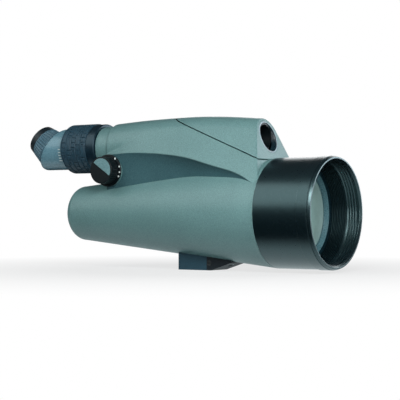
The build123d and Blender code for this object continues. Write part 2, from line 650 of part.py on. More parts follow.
def housing_shell():
    """Whole upper casing before the seam parts it."""
    inner = housing_loft(WALL) - ahead_of_face(WALL + 1.0)
    inner -= block(HOUSING_REAR_X - 5.0, HOUSING_REAR_X + REAR_WALL, -80, 80, 0, 250)
    shell = housing_loft(0) - ahead_of_face(0) - inner
    shell -= turned([(BARREL_REAR_X, 0), (BARREL_REAR_X, BARREL_REAR_R), (HOOD_REAR_X, HOOD_R),
                     (HOOD_REAR_X + 20.0, HOOD_R), (HOOD_REAR_X + 20.0, 0)],
                    (0, 0, AXIS_Z), FORWARD)
    for side, x, seat in ((-1, KNOB_X, KNOB_SEAT_Y - SCALE_THICK), (1, FOCUS_X, FOCUS_SEAT_Y)):
        inward = (0, -side, 0)
        boss = rod(BOSS_PLATE_R, seat - 20.0, (x, side * seat, KNOB_Z), inward)
        shell += boss - housing_loft(WALL) - barrel_cone(0)
        shell -= rod(SHAFT_R + RUN, 20.0, (x, side * (seat + 2.0), KNOB_Z), inward)
    shell -= rod(SCALE_R, 20.0, (KNOB_X, SCALE_THICK - KNOB_SEAT_Y, KNOB_Z), (0, -1, 0))
    shell -= block(HOUSING_REAR_X - 30.0, HOUSING_REAR_X, -60, 60, 0, 250)
    shell -= rod(GUIDE_R, 20.0, on_axis(HOUSING_REAR_X - 5.0, EYE_Z), FORWARD)
    shell -= rod(SMALL_BORE_R, 60.0, on_axis(FACE_X - 30.0, SMALL_AXIS_Z), FORWARD)
    return shell


BOSS_PLATE_R = 18.3      # round pads that the side knobs stand on


# ---- small objective ---------------------------------------------------------------------
SMALL_CELL_X = 52.0
SMALL_LENS_R = 12.5


def make_small_cell():
    """Tube behind the small bore, closed by its lens."""
    return turned([(SMALL_CELL_X, SMALL_LENS_R - 1.5), (SMALL_CELL_X, SMALL_BORE_R),
                   (SMALL_CELL_X + 22.0, SMALL_BORE_R), (SMALL_CELL_X + 22.0, SMALL_BORE_R - 1.5),
                   (SMALL_CELL_X + 12.0, SMALL_LENS_R + RUN), (SMALL_CELL_X + 2.0, SMALL_LENS_R + RUN),
                   (SMALL_CELL_X + 2.0, SMALL_LENS_R - 1.5)], (0, 0, SMALL_AXIS_Z), FORWARD)


def make_small_lens():
    return lens(60.0, 0, 4.0, SMALL_LENS_R, on_axis(SMALL_CELL_X + 6.0, SMALL_AXIS_Z), FORWARD)


def make_small_retainer():
    edge = SMALL_CELL_X + 6.0 - sagitta(60.0, SMALL_LENS_R)
    return ring(SMALL_LENS_R, SMALL_LENS_R - 1.0, edge + 0.2, edge + 3.0, (0, 0, SMALL_AXIS_Z), FORWARD)


def make_small_trim():
    """Thin ring pressed in the mouth of the small bore, cut flush with the slanted face."""
    trim = ring(SMALL_BORE_R, SMALL_BORE_R - 1.0, SMALL_CELL_X + 22.0, FACE_X + 10.0,
                (0, 0, SMALL_AXIS_Z), FORWARD)
    return trim - ahead_of_face(0)


# ---- zoom --------------------------------------------------------------------------------
SLOT_ANGLES = (90.0, 210.0, 330.0)
SLOT_HALF = PIN_R + SLOT_CLEARANCE


def zoom_pin_direction(angle):
    """Unit vector across the zoom axis at an angle from +Y towards +Z."""
    return (0, cos(radians(angle)), sin(radians(angle)))


def straight_slot(x0, x1, angle):
    """Slot cutter along X, with round ends, through the guide tube."""
    slot = block(x0, x1, -SLOT_HALF, SLOT_HALF, GUIDE_R - 5.0, GUIDE_R + 1.0)
    for x in (x0, x1):
        slot += rod(SLOT_HALF, 6.0, (x, 0, GUIDE_R - 5.0), UP)
    return Pos(0, 0, EYE_Z) * Rotation(angle - 90.0, 0, 0) * slot


def make_guide_tube():
    """Fixed tube along the zoom axis, with straight slots that stop the cells turning."""
    tube = ring(GUIDE_R, GUIDE_R - GUIDE_WALL, GUIDE_REAR_X, HOUSING_REAR_X + REAR_WALL,
                (0, 0, EYE_Z), FORWARD)
    for angle in SLOT_ANGLES:
        tube -= straight_slot(FRONT_CELL_X - 0.5, FRONT_CELL_X + FRONT_TRAVEL + 0.5, angle)
        tube -= straight_slot(REAR_CELL_X - 0.5, REAR_CELL_X + REAR_TRAVEL + 0.5, angle + 60.0)
    return tube


def make_neck():
    """Collar on the housing's rear wall that the guide tube is fixed in."""
    return ring(NECK_R, GUIDE_R, -NECK_LENGTH + GAP, 0, (HOUSING_REAR_X, 0, EYE_Z), FORWARD)


def helical_slot(x, travel, angle):
    """Cutters for a slot that drives a pin by travel while the sleeve makes its turn."""
    path = Helix(travel * 360.0 / ZOOM_TURN, travel, GUIDE_R + SLEEVE_WALL / 2, lefthand=True)
    frame = Plane(origin=path @ 0, x_dir=(1, 0, 0), z_dir=path % 0)
    profile = frame * Rectangle(SLEEVE_WALL + 2.0, 2 * SLOT_HALF)
    cutters = [sweep(profile, path=path, is_frenet=True)]
    for t in (0.0, 1.0):
        end = path @ t
        out = Vector(end.X, end.Y, 0).normalized()
        cutters.append(rod(SLOT_HALF + 0.02, SLEEVE_WALL + 4.0,
                           Vector(0, 0, end.Z) + out * (GUIDE_R - 2.0), out))
    turn = Location((x, 0, EYE_Z), (0, 90, 0)) * Rotation(0, 0, angle)
    return [turn * cutter for cutter in cutters]


def make_cam_sleeve():
    """Rotating sleeve with one set of helical slots for each zoom cell."""
    sleeve = ring(SLEEVE_R, GUIDE_R + RUN, HEAD_X + 2.0, COLLAR_X - 2.0, (0, 0, EYE_Z), FORWARD)
    for k in range(3):
        for cutter in helical_slot(FRONT_CELL_X, FRONT_TRAVEL, FRONT_SLOT_START + 120.0 * k):
            sleeve -= cutter
        for cutter in helical_slot(REAR_CELL_X, REAR_TRAVEL, REAR_SLOT_START + 120.0 * k):
            sleeve -= cutter
    return sleeve


FRONT_SLOT_START = 180.0
REAR_SLOT_START = 120.0


def make_zoom_cell(x, angle_offset, lens_r):
    """Sliding lens cell with three radial pins."""
    bore_r = GUIDE_R - GUIDE_WALL
    cell = ring(bore_r - RUN, lens_r, -5.0, 5.0, (x, 0, EYE_Z), FORWARD)
    cell += ring(lens_r + 0.5, lens_r - 1.0, -5.0, -3.0, (x, 0, EYE_Z), FORWARD)
    for angle in SLOT_ANGLES:
        out = Vector(*zoom_pin_direction(angle + angle_offset))
        length = SLEEVE_R - 0.3 - (bore_r - 2.0)
        cell += rod(PIN_R, length, Vector(x, 0, EYE_Z) + out * (bore_r - 2.0), out)
    return cell


def make_zoom_lens(x, lens_r):
    return lens(48.0, 0, 5.0, lens_r, on_axis(x + 2.0, EYE_Z), FORWARD)


def make_zoom_ring():
    """Turning ring: a smooth front band and a carrier under the rubber grip."""
    band_r = GRIP_R - 0.8
    return turned([(HEAD_X + GAP, SLEEVE_R), (HEAD_X + GAP, GRIP_CORE_R), (GRIP_X, GRIP_CORE_R),
                   (GRIP_X, band_r), (COLLAR_X - 1.0, band_r), (COLLAR_X, band_r - 1.0),
                   (COLLAR_X, SLEEVE_R + 1.0), (COLLAR_X - 2.0, SLEEVE_R + 1.0),
                   (COLLAR_X - 2.0, SLEEVE_R)], (0, 0, EYE_Z), FORWARD)


GRIP_CORE_R = 26.5
GRIP_RIBS = 28


def make_zoom_grip():
    """Rubber sleeve with raised ribs and a rounded rear edge."""
    base_r = GRIP_R - 1.0
    grip = turned([(HEAD_X + GAP, GRIP_CORE_R), (HEAD_X + GAP, base_r - 1.5),
                   (HEAD_X + GAP + 2.5, base_r), (GRIP_X, base_r), (GRIP_X, GRIP_CORE_R)],
                  (0, 0, EYE_Z), FORWARD)
    for k in range(GRIP_RIBS):
        rib = block(HEAD_X + 5.0, GRIP_X - 2.0, -1.6, 1.6, base_r - 0.8, GRIP_R)
        grip += Pos(0, 0, EYE_Z) * Rotation(360.0 * k / GRIP_RIBS, 0, 0) * rib
    return grip


# ---- eyepiece ----------------------------------------------------------------------------
BOSS_R = 19.0
CARRIER_R = 16.0
CARRIER_BORE = 13.5
BOSS_LENGTH = 15.0
EYEPIECE_TRAVEL = 1.5
CUP_BASE_R = 23.8
CUP_END_R = 18.6
CUP_LENGTH = 26.5
DIOPTRE_LENGTH = 18.0
CUP_BORE_R = 14.6
EYE_LENS_AT = 16.5


def cup_radius(distance):
    """Outer radius of the tapering eyepiece ring and eyecup."""
    return CUP_BASE_R + (CUP_END_R - CUP_BASE_R) * distance / CUP_LENGTH


def make_eyepiece_head():
    """Elbow body: a cylinder cut square to the slanted eyepiece axis, with a boss on the cut."""
    body = rod(HEAD_R, 60.0, on_axis(HEAD_X - 60.0, EYE_Z), FORWARD)
    cut = Plane(origin=eye_point(60.0), z_dir=EYE_DIR) * Box(200, 200, 120)
    body -= cut
    body += rod(BOSS_R, BOSS_LENGTH, eye_point(0), EYE_DIR)
    body -= rod(GUIDE_R, HEAD_X - GUIDE_REAR_X, on_axis(GUIDE_REAR_X, EYE_Z), FORWARD)
    body -= rod(GUIDE_R - GUIDE_WALL, HEAD_X - ELBOW_X - 4.0, on_axis(ELBOW_X + 4.0, EYE_Z), FORWARD)
    body -= rod(CARRIER_R + RUN, 30.0, eye_point(-6.0), EYE_DIR)
    half = ELBOW_RAD / 2
    clear = Plane(origin=(ELBOW_X + 2.0, 0, EYE_Z), z_dir=(cos(half), 0, -sin(half)))
    body -= clear * Pos(0, 0, 0) * Cylinder(17.0, 12.0, align=(Align.CENTER, Align.CENTER, Align.MIN))
    return body


def make_eyepiece_carrier():
    """Inner barrel that slides for dioptre adjustment and holds both eyepiece lenses."""
    return turned([(-1.0, CARRIER_BORE - 1.5), (-1.0, CARRIER_R), (EYE_LENS_AT + 1.5, CARRIER_R),
                   (EYE_LENS_AT + 1.5, CARRIER_BORE), (1.0, CARRIER_BORE), (1.0, CARRIER_BORE - 1.5)],
                  eye_point(0), EYE_DIR)


def make_field_lens():
    return lens(0, -45.0, 4.0, CARRIER_BORE, eye_point(7.0), EYE_DIR)


def make_eyepiece_spacer():
    return ring(CARRIER_BORE, CARRIER_BORE - 1.0, 7.0, EYE_LENS_AT - 4.0, eye_point(0), EYE_DIR)


def make_eye_lens():
    return lens(48.0, 0, 4.0, CARRIER_BORE, eye_point(EYE_LENS_AT), EYE_DIR)


def make_dioptre_ring():
    """Tapered ring that turns on the head's boss."""
    return turned([(GAP, BOSS_R + RUN), (GAP, cup_radius(0) - 0.5), (GAP + 1.0, cup_radius(1)),
                   (DIOPTRE_LENGTH, cup_radius(DIOPTRE_LENGTH)), (DIOPTRE_LENGTH, CARRIER_R + GAP),
                   (BOSS_LENGTH + GAP, CARRIER_R + GAP), (BOSS_LENGTH + GAP, BOSS_R + RUN)],
                  eye_point(0), EYE_DIR)


def make_eyecup():
    """Soft rubber cup on the end of the dioptre ring."""
    end = CUP_LENGTH + 1.0
    return turned([(DIOPTRE_LENGTH, CARRIER_R + GAP), (DIOPTRE_LENGTH, cup_radius(DIOPTRE_LENGTH)),
                   (end - 2.0, CUP_END_R), (end - 0.6, CUP_END_R - 0.7), (end, CUP_END_R - 2.0),
                   (end - 0.6, CUP_BORE_R + 0.6), (end - 2.0, CUP_BORE_R),
                   (DIOPTRE_LENGTH + 2.0, CARRIER_R + GAP)], eye_point(0), EYE_DIR)


# ---- tripod foot -------------------------------------------------------------------------
def make_tripod_foot():
    """Block with a fairing that runs forward into the barrel, saddled on the cone."""
    top = AXIS_Z - cone_radius(FOOT_REAR_X) + 3.0
    half = FOOT_WIDTH / 2
    side = Polyline((FOOT_REAR_X, 0), (FOOT_FRONT_X, 0), (FAIRING_X, AXIS_Z - cone_radius(FAIRING_X)),
                    (FAIRING_X, top), (FOOT_REAR_X, top), close=True)
    foot = Pos(0, half, 0) * extrude(Plane.XZ * make_face(side), FOOT_WIDTH)
    foot -= turned([(BARREL_REAR_X, 0), (BARREL_REAR_X, BARREL_REAR_R), (HOOD_REAR_X, HOOD_R),
                    (HOOD_REAR_X, 0)], (0, 0, AXIS_Z), FORWARD)
    foot -= rod(BUSH_R, BUSH_HEIGHT, (0, 0, 0), UP)
    for x in FOOT_SCREW_X:
        foot -= rod(1.8, 40.0, (x, 0, -1.0), UP)
        foot -= rod(3.4, foot_face(x) + 3.0 + 1.0, (x, 0, -1.0), UP)
    return foot


def foot_face(x):
    """Height of the foot's lower face at X."""
    if x <= FOOT_FRONT_X:
        return 0.0
    rise = AXIS_Z - cone_radius(FAIRING_X)
    return rise * (x - FOOT_FRONT_X) / (FAIRING_X - FOOT_FRONT_X)


BUSH_R = 6.0
BUSH_HEIGHT = 10.0


def make_tripod_bush():
    """Threaded metal bush; the bore is the thread's major diameter."""
    return rod(BUSH_R, BUSH_HEIGHT, (0, 0, 0), UP) - rod(SOCKET_R, SOCKET_DEPTH, (0, 0, 0), UP)


def make_foot_screws():
    screws = []
    for x in FOOT_SCREW_X:
        head_z = foot_face(x) + 3.0
        top = AXIS_Z - cone_radius(x) + WALL + 1.0
        screws.append(rod(3.3, 2.2, (x, 0, head_z - 2.2), UP) + rod(1.8, top - head_z, (x, 0, head_z), UP))
    return group(screws)


# ---- assembly ----------------------------------------------------------------------------
def build():
    """Every separate piece, by node name."""
    casing = housing_shell()
    cover = casing & above_seam(SEAM_GAP)
    PARTS["upper_housing"] = casing - above_seam(0)
    PARTS["top_cover"] = cover
    PARTS["barrel"] = make_barrel()
    PARTS["barrel_end_cap"] = make_end_cap()
    PARTS["front_baffle"] = make_baffle(48.0, 44.0)
    PARTS["rear_baffle"] = make_baffle(-60.0, 34.0)
    PARTS["sun_hood"] = make_sun_hood()
    PARTS["hood_rim_ring"] = make_rim_ring()
    PARTS["objective_cell"] = make_objective_cell()
    PARTS["crown_lens"] = make_crown_lens()
    PARTS["flint_lens"] = make_flint_lens()
    PARTS["lens_spacer"] = make_lens_spacer()
    PARTS["objective_retainer"] = make_retaining_ring()
    PARTS["rear_mirror"] = make_rear_mirror()
    PARTS["rear_mirror_cell"] = make_mirror_cell()
    PARTS["mirror_cell_screws"] = make_mirror_screws()
    PARTS["flip_frame"] = make_flip_frame()
    PARTS["flip_mirror"] = make_flip_mirror()
    PARTS["flip_bracket"] = make_flip_bracket()
    PARTS["link_rod"] = make_link_rod()
    PARTS["selector_knob"] = make_selector_knob()
    PARTS["selector_inlay"] = make_selector_inlay()
    PARTS["selector_shaft"] = make_selector_shaft()
    PARTS["selector_scale"] = make_scale_ring()
    PARTS["focus_knob"] = turned(
        [(GAP, 0), (GAP, FOCUS_KNOB_R - 1.0), (GAP + 1.0, FOCUS_KNOB_R),
         (KNOB_HEIGHT - 0.8, FOCUS_KNOB_R), (KNOB_HEIGHT, FOCUS_KNOB_R - 0.8), (KNOB_HEIGHT, 0)],
        (FOCUS_X, FOCUS_SEAT_Y, PINION_Z), LEFT)
    PARTS["focus_shaft"] = make_focus_shaft()
    PARTS["focus_carriage"] = make_focus_carriage()
    PARTS["focus_lens"] = lens(90.0, 0, 5.0, FOCUS_CELL_R - 2.0,
                               on_axis(FOCUS_CELL_X + 3.0, EYE_Z), FORWARD)
    PARTS["focus_rails"] = make_focus_rails()
    PARTS["rail_bracket"] = make_rail_bracket()
    PARTS["small_objective_cell"] = make_small_cell()
    PARTS["small_objective_lens"] = make_small_lens()
    PARTS["small_objective_retainer"] = make_small_retainer()
    PARTS["small_objective_trim"] = make_small_trim()
    PARTS["guide_tube"] = make_guide_tube()
    PARTS["neck_collar"] = make_neck()
    PARTS["cam_sleeve"] = make_cam_sleeve()
    PARTS["front_zoom_cell"] = make_zoom_cell(FRONT_CELL_X, 0.0, 13.0)
    PARTS["front_zoom_lens"] = make_zoom_lens(FRONT_CELL_X, 13.0)
    PARTS["rear_zoom_cell"] = make_zoom_cell(REAR_CELL_X, 60.0, 11.5)
    PARTS["rear_zoom_lens"] = make_zoom_lens(REAR_CELL_X, 11.5)
    PARTS["zoom_ring"] = make_zoom_ring()
    PARTS["zoom_grip"] = make_zoom_grip()
    PARTS["eyepiece_head"] = make_eyepiece_head()
    PARTS["eyepiece_carrier"] = make_eyepiece_carrier()
    PARTS["field_lens"] = make_field_lens()
    PARTS["eyepiece_spacer"] = make_eyepiece_spacer()
    PARTS["eye_lens"] = make_eye_lens()
    PARTS["dioptre_ring"] = make_dioptre_ring()
    PARTS["eyecup"] = make_eyecup()
    PARTS["tripod_foot"] = make_tripod_foot()
    PARTS["tripod_bush"] = make_tripod_bush()
    PARTS["foot_screws"] = make_foot_screws()


build()
os.makedirs("parts", exist_ok=True)
for name, shape in PARTS.items():
    export_step(shape, "parts/" + name + ".step")
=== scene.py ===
"""Looks of an angled spotting scope: moulded casing skins, rubber, glass and turned parts.

Lengths in this file are millimetres until a mesh is made, which is in metres.
+X runs forward along the objective, +Y to the scope's left, +Z up.
"""

import json
import math

import bmesh
import bpy
import numpy as np
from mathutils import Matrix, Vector


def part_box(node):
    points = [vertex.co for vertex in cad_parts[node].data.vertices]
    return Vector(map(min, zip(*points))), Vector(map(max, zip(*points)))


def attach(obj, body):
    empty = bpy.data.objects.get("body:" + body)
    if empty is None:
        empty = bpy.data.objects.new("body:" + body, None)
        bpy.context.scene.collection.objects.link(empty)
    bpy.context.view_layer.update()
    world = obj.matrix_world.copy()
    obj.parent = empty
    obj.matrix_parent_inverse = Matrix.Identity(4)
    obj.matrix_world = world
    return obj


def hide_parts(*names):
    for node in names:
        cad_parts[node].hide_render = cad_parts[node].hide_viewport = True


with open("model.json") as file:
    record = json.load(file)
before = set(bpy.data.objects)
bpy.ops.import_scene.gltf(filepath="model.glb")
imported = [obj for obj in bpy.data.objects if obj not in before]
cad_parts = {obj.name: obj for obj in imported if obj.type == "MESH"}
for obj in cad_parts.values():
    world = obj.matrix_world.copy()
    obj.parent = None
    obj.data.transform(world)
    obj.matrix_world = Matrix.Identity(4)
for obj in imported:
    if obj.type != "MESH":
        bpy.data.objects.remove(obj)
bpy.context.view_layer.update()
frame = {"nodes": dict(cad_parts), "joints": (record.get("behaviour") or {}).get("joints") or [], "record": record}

# ---- places, from the frame ---------------------------------------------------------------
MM = 1000.0
JOINTS = {j["name"]: j for j in frame["joints"]}


def span(node):
    """Lowest and highest corner of a CAD node, in millimetres."""
    low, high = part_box(node)
    return np.array(low) * MM, np.array(high) * MM


def half_width(node):
    """Largest radius of a turned CAD node, from its box across."""
    low, high = span(node)
    return (high[1] - low[1]) / 2


def joint_place(name):
    """A point on a joint's axis, in millimetres, and its direction."""
    return np.array(JOINTS[name]["pos_m"]) * MM, np.array(JOINTS[name]["axis"], float)


FORWARD = np.array([1.0, 0.0, 0.0])
LEFT = np.array([0.0, 1.0, 0.0])
HOOD_LOW, HOOD_HIGH = span("sun_hood")
RIM_LOW, RIM_HIGH = span("hood_rim_ring")
AXIS_Z = (HOOD_LOW[2] + HOOD_HIGH[2]) / 2
HOOD_R = half_width("sun_hood")
RIM_R = half_width("hood_rim_ring")
HOOD_X = HOOD_LOW[0]
RIM_X = RIM_HIGH[0]
CONE_X = span("barrel")[0][0]
CONE_R = half_width("barrel_end_cap") + 0.9  # fuller at the rear than the plain solid
CAP_X = span("barrel_end_cap")[0][0]
CASE_X = span("neck_collar")[1][0]
NECK_X = span("neck_collar")[0][0]
NECK_R = half_width("neck_collar")
EYE_Z = sum(v[2] for v in span("neck_collar")) / 2
GRIP_LOW, GRIP_HIGH = span("zoom_grip")
GRIP_R = half_width("zoom_grip")
BAND_X = span("zoom_ring")[1][0]
BAND_R = half_width("zoom_ring")
HEAD_X = span("eyepiece_head")[1][0]
HEAD_R = half_width("eyepiece_head")
EYE_AT, EYE_DIR = joint_place("dioptre_turn")
KNOB_AT = joint_place("selector_turn")[0]
KNOB_LOW, KNOB_HIGH = span("selector_knob")
KNOB_R = (KNOB_HIGH[0] - KNOB_LOW[0]) / 2
SCALE_LOW, SCALE_HIGH = span("selector_scale")
FOCUS_AT = joint_place("focus_turn")[0]
FOCUS_LOW, FOCUS_HIGH = span("focus_knob")
FOOT_LOW, FOOT_HIGH = span("tripod_foot")
CONE_SLOPE = (HOOD_R - CONE_R) / (HOOD_X - CONE_X)
LENS_FRONT = span("crown_lens")[1][0]
LENS_R = half_width("crown_lens")
SMALL_Z = sum(v[2] for v in span("small_objective_cell")) / 2
SMALL_R = half_width("small_objective_cell")

# ---- sizes that only the looks use --------------------------------------------------------
WALL = 2.5               # wall of the barrel
SPIGOT_LENGTH = 11.6     # barrel's front end, inside the hood
SPIGOT_DROP = 3.4        # how far that end lies below the hood's outside
SEAT_LENGTH = 12.3       # hood's recess for it
HOOD_WALL = 4.0
RIM_WALL = 5.2
DOME_SHARE = 0.64        # depth of the barrel's domed end, as a share of the room for it
DOME_POWER = 2.2
CLEAR_R = 46.6           # clear zone of the front lens
SKIN = 1.6               # wall of the casing skins
NECK_BORE = 20.2
FOOT_SHADE_X = 8.5       # where painted shade starts on the foot's front part
PAD_INNER, PAD_BORE, PAD_R = 21.0, 3.2, 18.3
CUP_R, CUP_END_R, CUP_LENGTH = 23.8, 18.6, 26.5
GRIP_ROWS, GRIP_BLOCKS = 5, 30


def cone_radius(x):
    """Radius of the barrel's cone at X."""
    return CONE_R + (x - CONE_X) * CONE_SLOPE


# ---- making meshes ------------------------------------------------------------------------
def grid_faces(rows, columns, first, wrap_rows, wrap_columns):
    """Quads of a grid of points numbered row by row, joined round where it wraps."""
    i = np.arange(rows if wrap_rows else rows - 1)[:, None]
    j = np.arange(columns if wrap_columns else columns - 1)[None, :]
    i2, j2 = (i + 1) % rows, (j + 1) % columns
    corners = [i * columns + j, i * columns + j2, i2 * columns + j2, i2 * columns + j]
    shape = (i.shape[0], j.shape[1])
    return np.stack([np.broadcast_to(c, shape) for c in corners], -1).reshape(-1, 4) + first


def sheet(points, wrap_rows=False, wrap_columns=False, finish=0):
    """A grid of points, which ways it closes on itself, and which of the piece's finishes it takes."""
    return np.asarray(points, float), wrap_rows, wrap_columns, finish


def signed_volume(work):
    """Volume about the mesh's own middle, below zero when its faces point inwards."""
    middle = sum((v.co for v in work.verts), Vector()) / len(work.verts)
    return sum((f.calc_center_median() - middle).dot(f.normal) * f.calc_area() for f in work.faces)


def placed(name, data):
    """New object in the scene."""
    thing = bpy.data.objects.new(name, data)
    bpy.context.scene.collection.objects.link(thing)
    return thing


def make_piece(name, body, sheets, material, nodes=(), wall=0.0, sharp=38.0):
    """Joins sheets into one mesh in place, closes seams and poles, and hangs it on a body."""
    points, faces, finishes, first = [], [], [], 0
    for grid, wrap_rows, wrap_columns, which in sheets:
        rows, columns = grid.shape[:2]
        faces.append(grid_faces(rows, columns, first, wrap_rows, wrap_columns))
        finishes.append(np.full(len(faces[-1]), which))
        points.append(grid.reshape(-1, 3) / MM)
        first += rows * columns
    mesh = bpy.data.meshes.new(name)
    mesh.from_pydata(np.concatenate(points), [], np.concatenate(faces).tolist())
    mesh.polygons.foreach_set("material_index", np.concatenate(finishes))
    work = bmesh.new()
    work.from_mesh(mesh)
    bmesh.ops.remove_doubles(work, verts=work.verts, dist=1e-6)
    bmesh.ops.dissolve_degenerate(work, edges=work.edges, dist=1e-7)
    bmesh.ops.recalc_face_normals(work, faces=work.faces)
    if signed_volume(work) < 0:
        bmesh.ops.reverse_faces(work, faces=work.faces)
    work.to_mesh(mesh)
    work.free()
    mesh.polygons.foreach_set("use_smooth", np.ones(len(mesh.polygons), bool))
    mesh.set_sharp_from_angle(angle=math.radians(sharp))
    for finish in material if isinstance(material, (list, tuple)) else [material]:
        mesh.materials.append(finish)
    piece = placed(name, mesh)
    if wall:
        solid = piece.modifiers.new("wall", "SOLIDIFY")
        solid.thickness = wall / MM
        solid.offset = -1.0
    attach(piece, body)
    if nodes:
        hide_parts(*nodes)
    return piece


def unit(vector):
    return vector / np.linalg.norm(vector)


def rounded(corners, steps=5, support=0.35):
    """Outline through (distance, radius, fillet) corners: each corner becomes an arc tangent to its two
    runs, with an extra point just beyond each end of the arc so that flat runs stay flat when shaded."""
    out = []
    count = len(corners)
    for k in range(count):
        here = np.array(corners[k][:2], float)
        fillet = corners[k][2] if len(corners[k]) > 2 else 0.0
        before = np.array(corners[k - 1][:2], float) - here
        after = np.array(corners[(k + 1) % count][:2], float) - here
        if fillet <= 0 or np.linalg.norm(before) < 1e-9 or np.linalg.norm(after) < 1e-9:
            out.append(here)
            continue
        u, v = before / np.linalg.norm(before), after / np.linalg.norm(after)
        angle = math.acos(float(np.clip(u @ v, -1, 1)))
        reach = fillet / math.tan(angle / 2)
        reach = min(reach, 0.45 * np.linalg.norm(before), 0.45 * np.linalg.norm(after))
        radius = reach * math.tan(angle / 2)
        middle = here + (u + v) / np.linalg.norm(u + v) * radius / math.sin(angle / 2)
        start, end = here + u * reach - middle, here + v * reach - middle
        turn = math.acos(float(np.clip(start @ end / (radius * radius), -1, 1)))
        t = np.linspace(0, 1, steps)[:, None]
        arc = (np.sin((1 - t) * turn) * start + np.sin(t * turn) * end) / math.sin(turn)
        if np.linalg.norm(before) > reach + 2 * support:
            out.append(here + u * (reach + support))
        out.extend(middle + arc)
        if np.linalg.norm(after) > reach + 2 * support:
            out.append(here + v * (reach + support))
    return np.array(out)


def turned(outline, at, along, around=128, relief=None):
    """Surface of revolution: each outline point (s, r) goes round the axis on a circle of radius
    r + relief(s, angle) at distance s. The angle runs from the first cross direction to the second."""
    along = np.array(along, float)
    side = LEFT if abs(along[1]) < 0.9 else FORWARD
    side = side - along * (side @ along)
    side = unit(side)
    other = np.cross(along, side)
    angle = np.linspace(0, 2 * np.pi, around, endpoint=False)[None, :]
    s, r = outline[:, 0][:, None], outline[:, 1][:, None]
    radius = r + (relief(s, angle) if relief else 0.0)
    radius = np.broadcast_to(np.where(r > 1e-9, radius, 0.0), (len(outline), around))
    return (np.array(at, float) + (s + 0 * angle)[..., None] * along
            + (radius * np.cos(angle))[..., None] * side + (radius * np.sin(angle))[..., None] * other)


def step_up(x, low, high):
    """Smooth rise from 0 at low to 1 at high."""
    t = np.clip((x - low) / (high - low), 0, 1)
    return t * t * (3 - 2 * t)


def lathe(outline, at, along, around=128, relief=None, closed=True):
    """Sheet of a turned outline: a closed loop, unless its ends lie on the axis."""
    return sheet(turned(outline, at, along, around, relief), closed, True)


def on_axis(outline, around=192, closed=True):
    """Sheet turned about the objective's axis."""
    return lathe(outline, (0, 0, AXIS_Z), FORWARD, around, closed=closed)


def on_eye_axis(outline, around=128, relief=None):
    """Sheet turned about the zoom ring's axis."""
    return lathe(outline, (0, 0, EYE_Z), FORWARD, around, relief)


def repeated(x, corners):
    """Outline of a form cut at every X, its corners given as (shift along X, radius)."""
    return np.stack([np.stack([x + s, np.full_like(x, r)], 1) for s, r in corners], 1).reshape(-1, 2)


# ---- finishes -----------------------------------------------------------------------------
def tint(red, green, blue):
    """Colour as a painter reads it, 0 to 255, made linear."""
    c = np.array([red, green, blue], float) / 255
    return (*np.where(c <= 0.04045, c / 12.92, ((c + 0.055) / 1.055) ** 2.4), 1.0)


def new_finish(name):
    """Empty material, and its tree, shader and object coordinates."""
    material = bpy.data.materials.new(name)
    material.use_nodes = True
    tree = material.node_tree
    tree.nodes.clear()
    out = tree.nodes.new("ShaderNodeOutputMaterial")
    shader = tree.nodes.new("ShaderNodeBsdfPrincipled")
    tree.links.new(shader.outputs["BSDF"], out.inputs["Surface"])
    place = tree.nodes.new("ShaderNodeTexCoord").outputs["Object"]
    return material, tree, shader, place


def wire(tree, value, socket):
    """Links a socket to another, or gives it a plain value."""
    if isinstance(value, bpy.types.NodeSocket):
        tree.links.new(value, socket)
    else:
        socket.default_value = value


def sums(tree, operation, first, second=None):
    """One step of arithmetic."""
    node = tree.nodes.new("ShaderNodeMath")
    node.operation = operation
    wire(tree, first, node.inputs[0])
    if second is not None:
        wire(tree, second, node.inputs[1])
    return node.outputs[0]


def apart(tree, vector):
    """The X, Y and Z of a vector."""
    node = tree.nodes.new("ShaderNodeSeparateXYZ")
    tree.links.new(vector, node.inputs[0])
    return node.outputs


def length_of(tree, vector):
    node = tree.nodes.new("ShaderNodeVectorMath")
    node.operation = "LENGTH"
    tree.links.new(vector, node.inputs[0])
    return node.outputs["Value"]


def stretched(tree, value, low, high, to_low, to_high):
    """Value carried from one range to another, and held at its ends."""
    node = tree.nodes.new("ShaderNodeMapRange")
    node.inputs["From Min"].default_value, node.inputs["From Max"].default_value = low, high
    node.inputs["To Min"].default_value, node.inputs["To Max"].default_value = to_low, to_high
    tree.links.new(value, node.inputs["Value"])
    return node.outputs["Result"]


def blended(tree, factor, first, second):
    """Mix of two shaders."""
    node = tree.nodes.new("ShaderNodeMixShader")
    for socket, value in zip(node.inputs, (factor, first, second)):
        tree.links.new(value, socket)
    return node.outputs[0]


def noise(tree, place, per_metre, detail=2.0, roughness=0.5):
    """Cloudy pattern with so many features to the metre."""
    node = tree.nodes.new("ShaderNodeTexNoise")
    node.inputs["Scale"].default_value = per_metre
    node.inputs["Detail"].default_value = detail
    node.inputs["Roughness"].default_value = roughness
    tree.links.new(place, node.inputs["Vector"])
    return node.outputs["Fac"]


def ramp(tree, value, stops):
    """Colour ramp through (position, colour) stops."""
    node = tree.nodes.new("ShaderNodeValToRGB")
    elements = node.color_ramp.elements
    while len(elements) < len(stops):
        elements.new(0.5)
    for element, (position, colour) in zip(elements, stops):
        element.position = position
        element.color = colour
    tree.links.new(value, node.inputs["Fac"])
    return node.outputs["Color"]


def grey(level):
    return (level, level, level, 1.0)


def mixed(tree, factor, first, second, blend="MIX"):
    """Mix of two colours, either of them a socket or a plain colour."""
    node = tree.nodes.new("ShaderNodeMix")
    node.data_type = "RGBA"
    node.blend_type = blend
    wire(tree, factor, node.inputs["Factor"])
    wire(tree, first, node.inputs[6])
    wire(tree, second, node.inputs[7])
    return node.outputs[2]


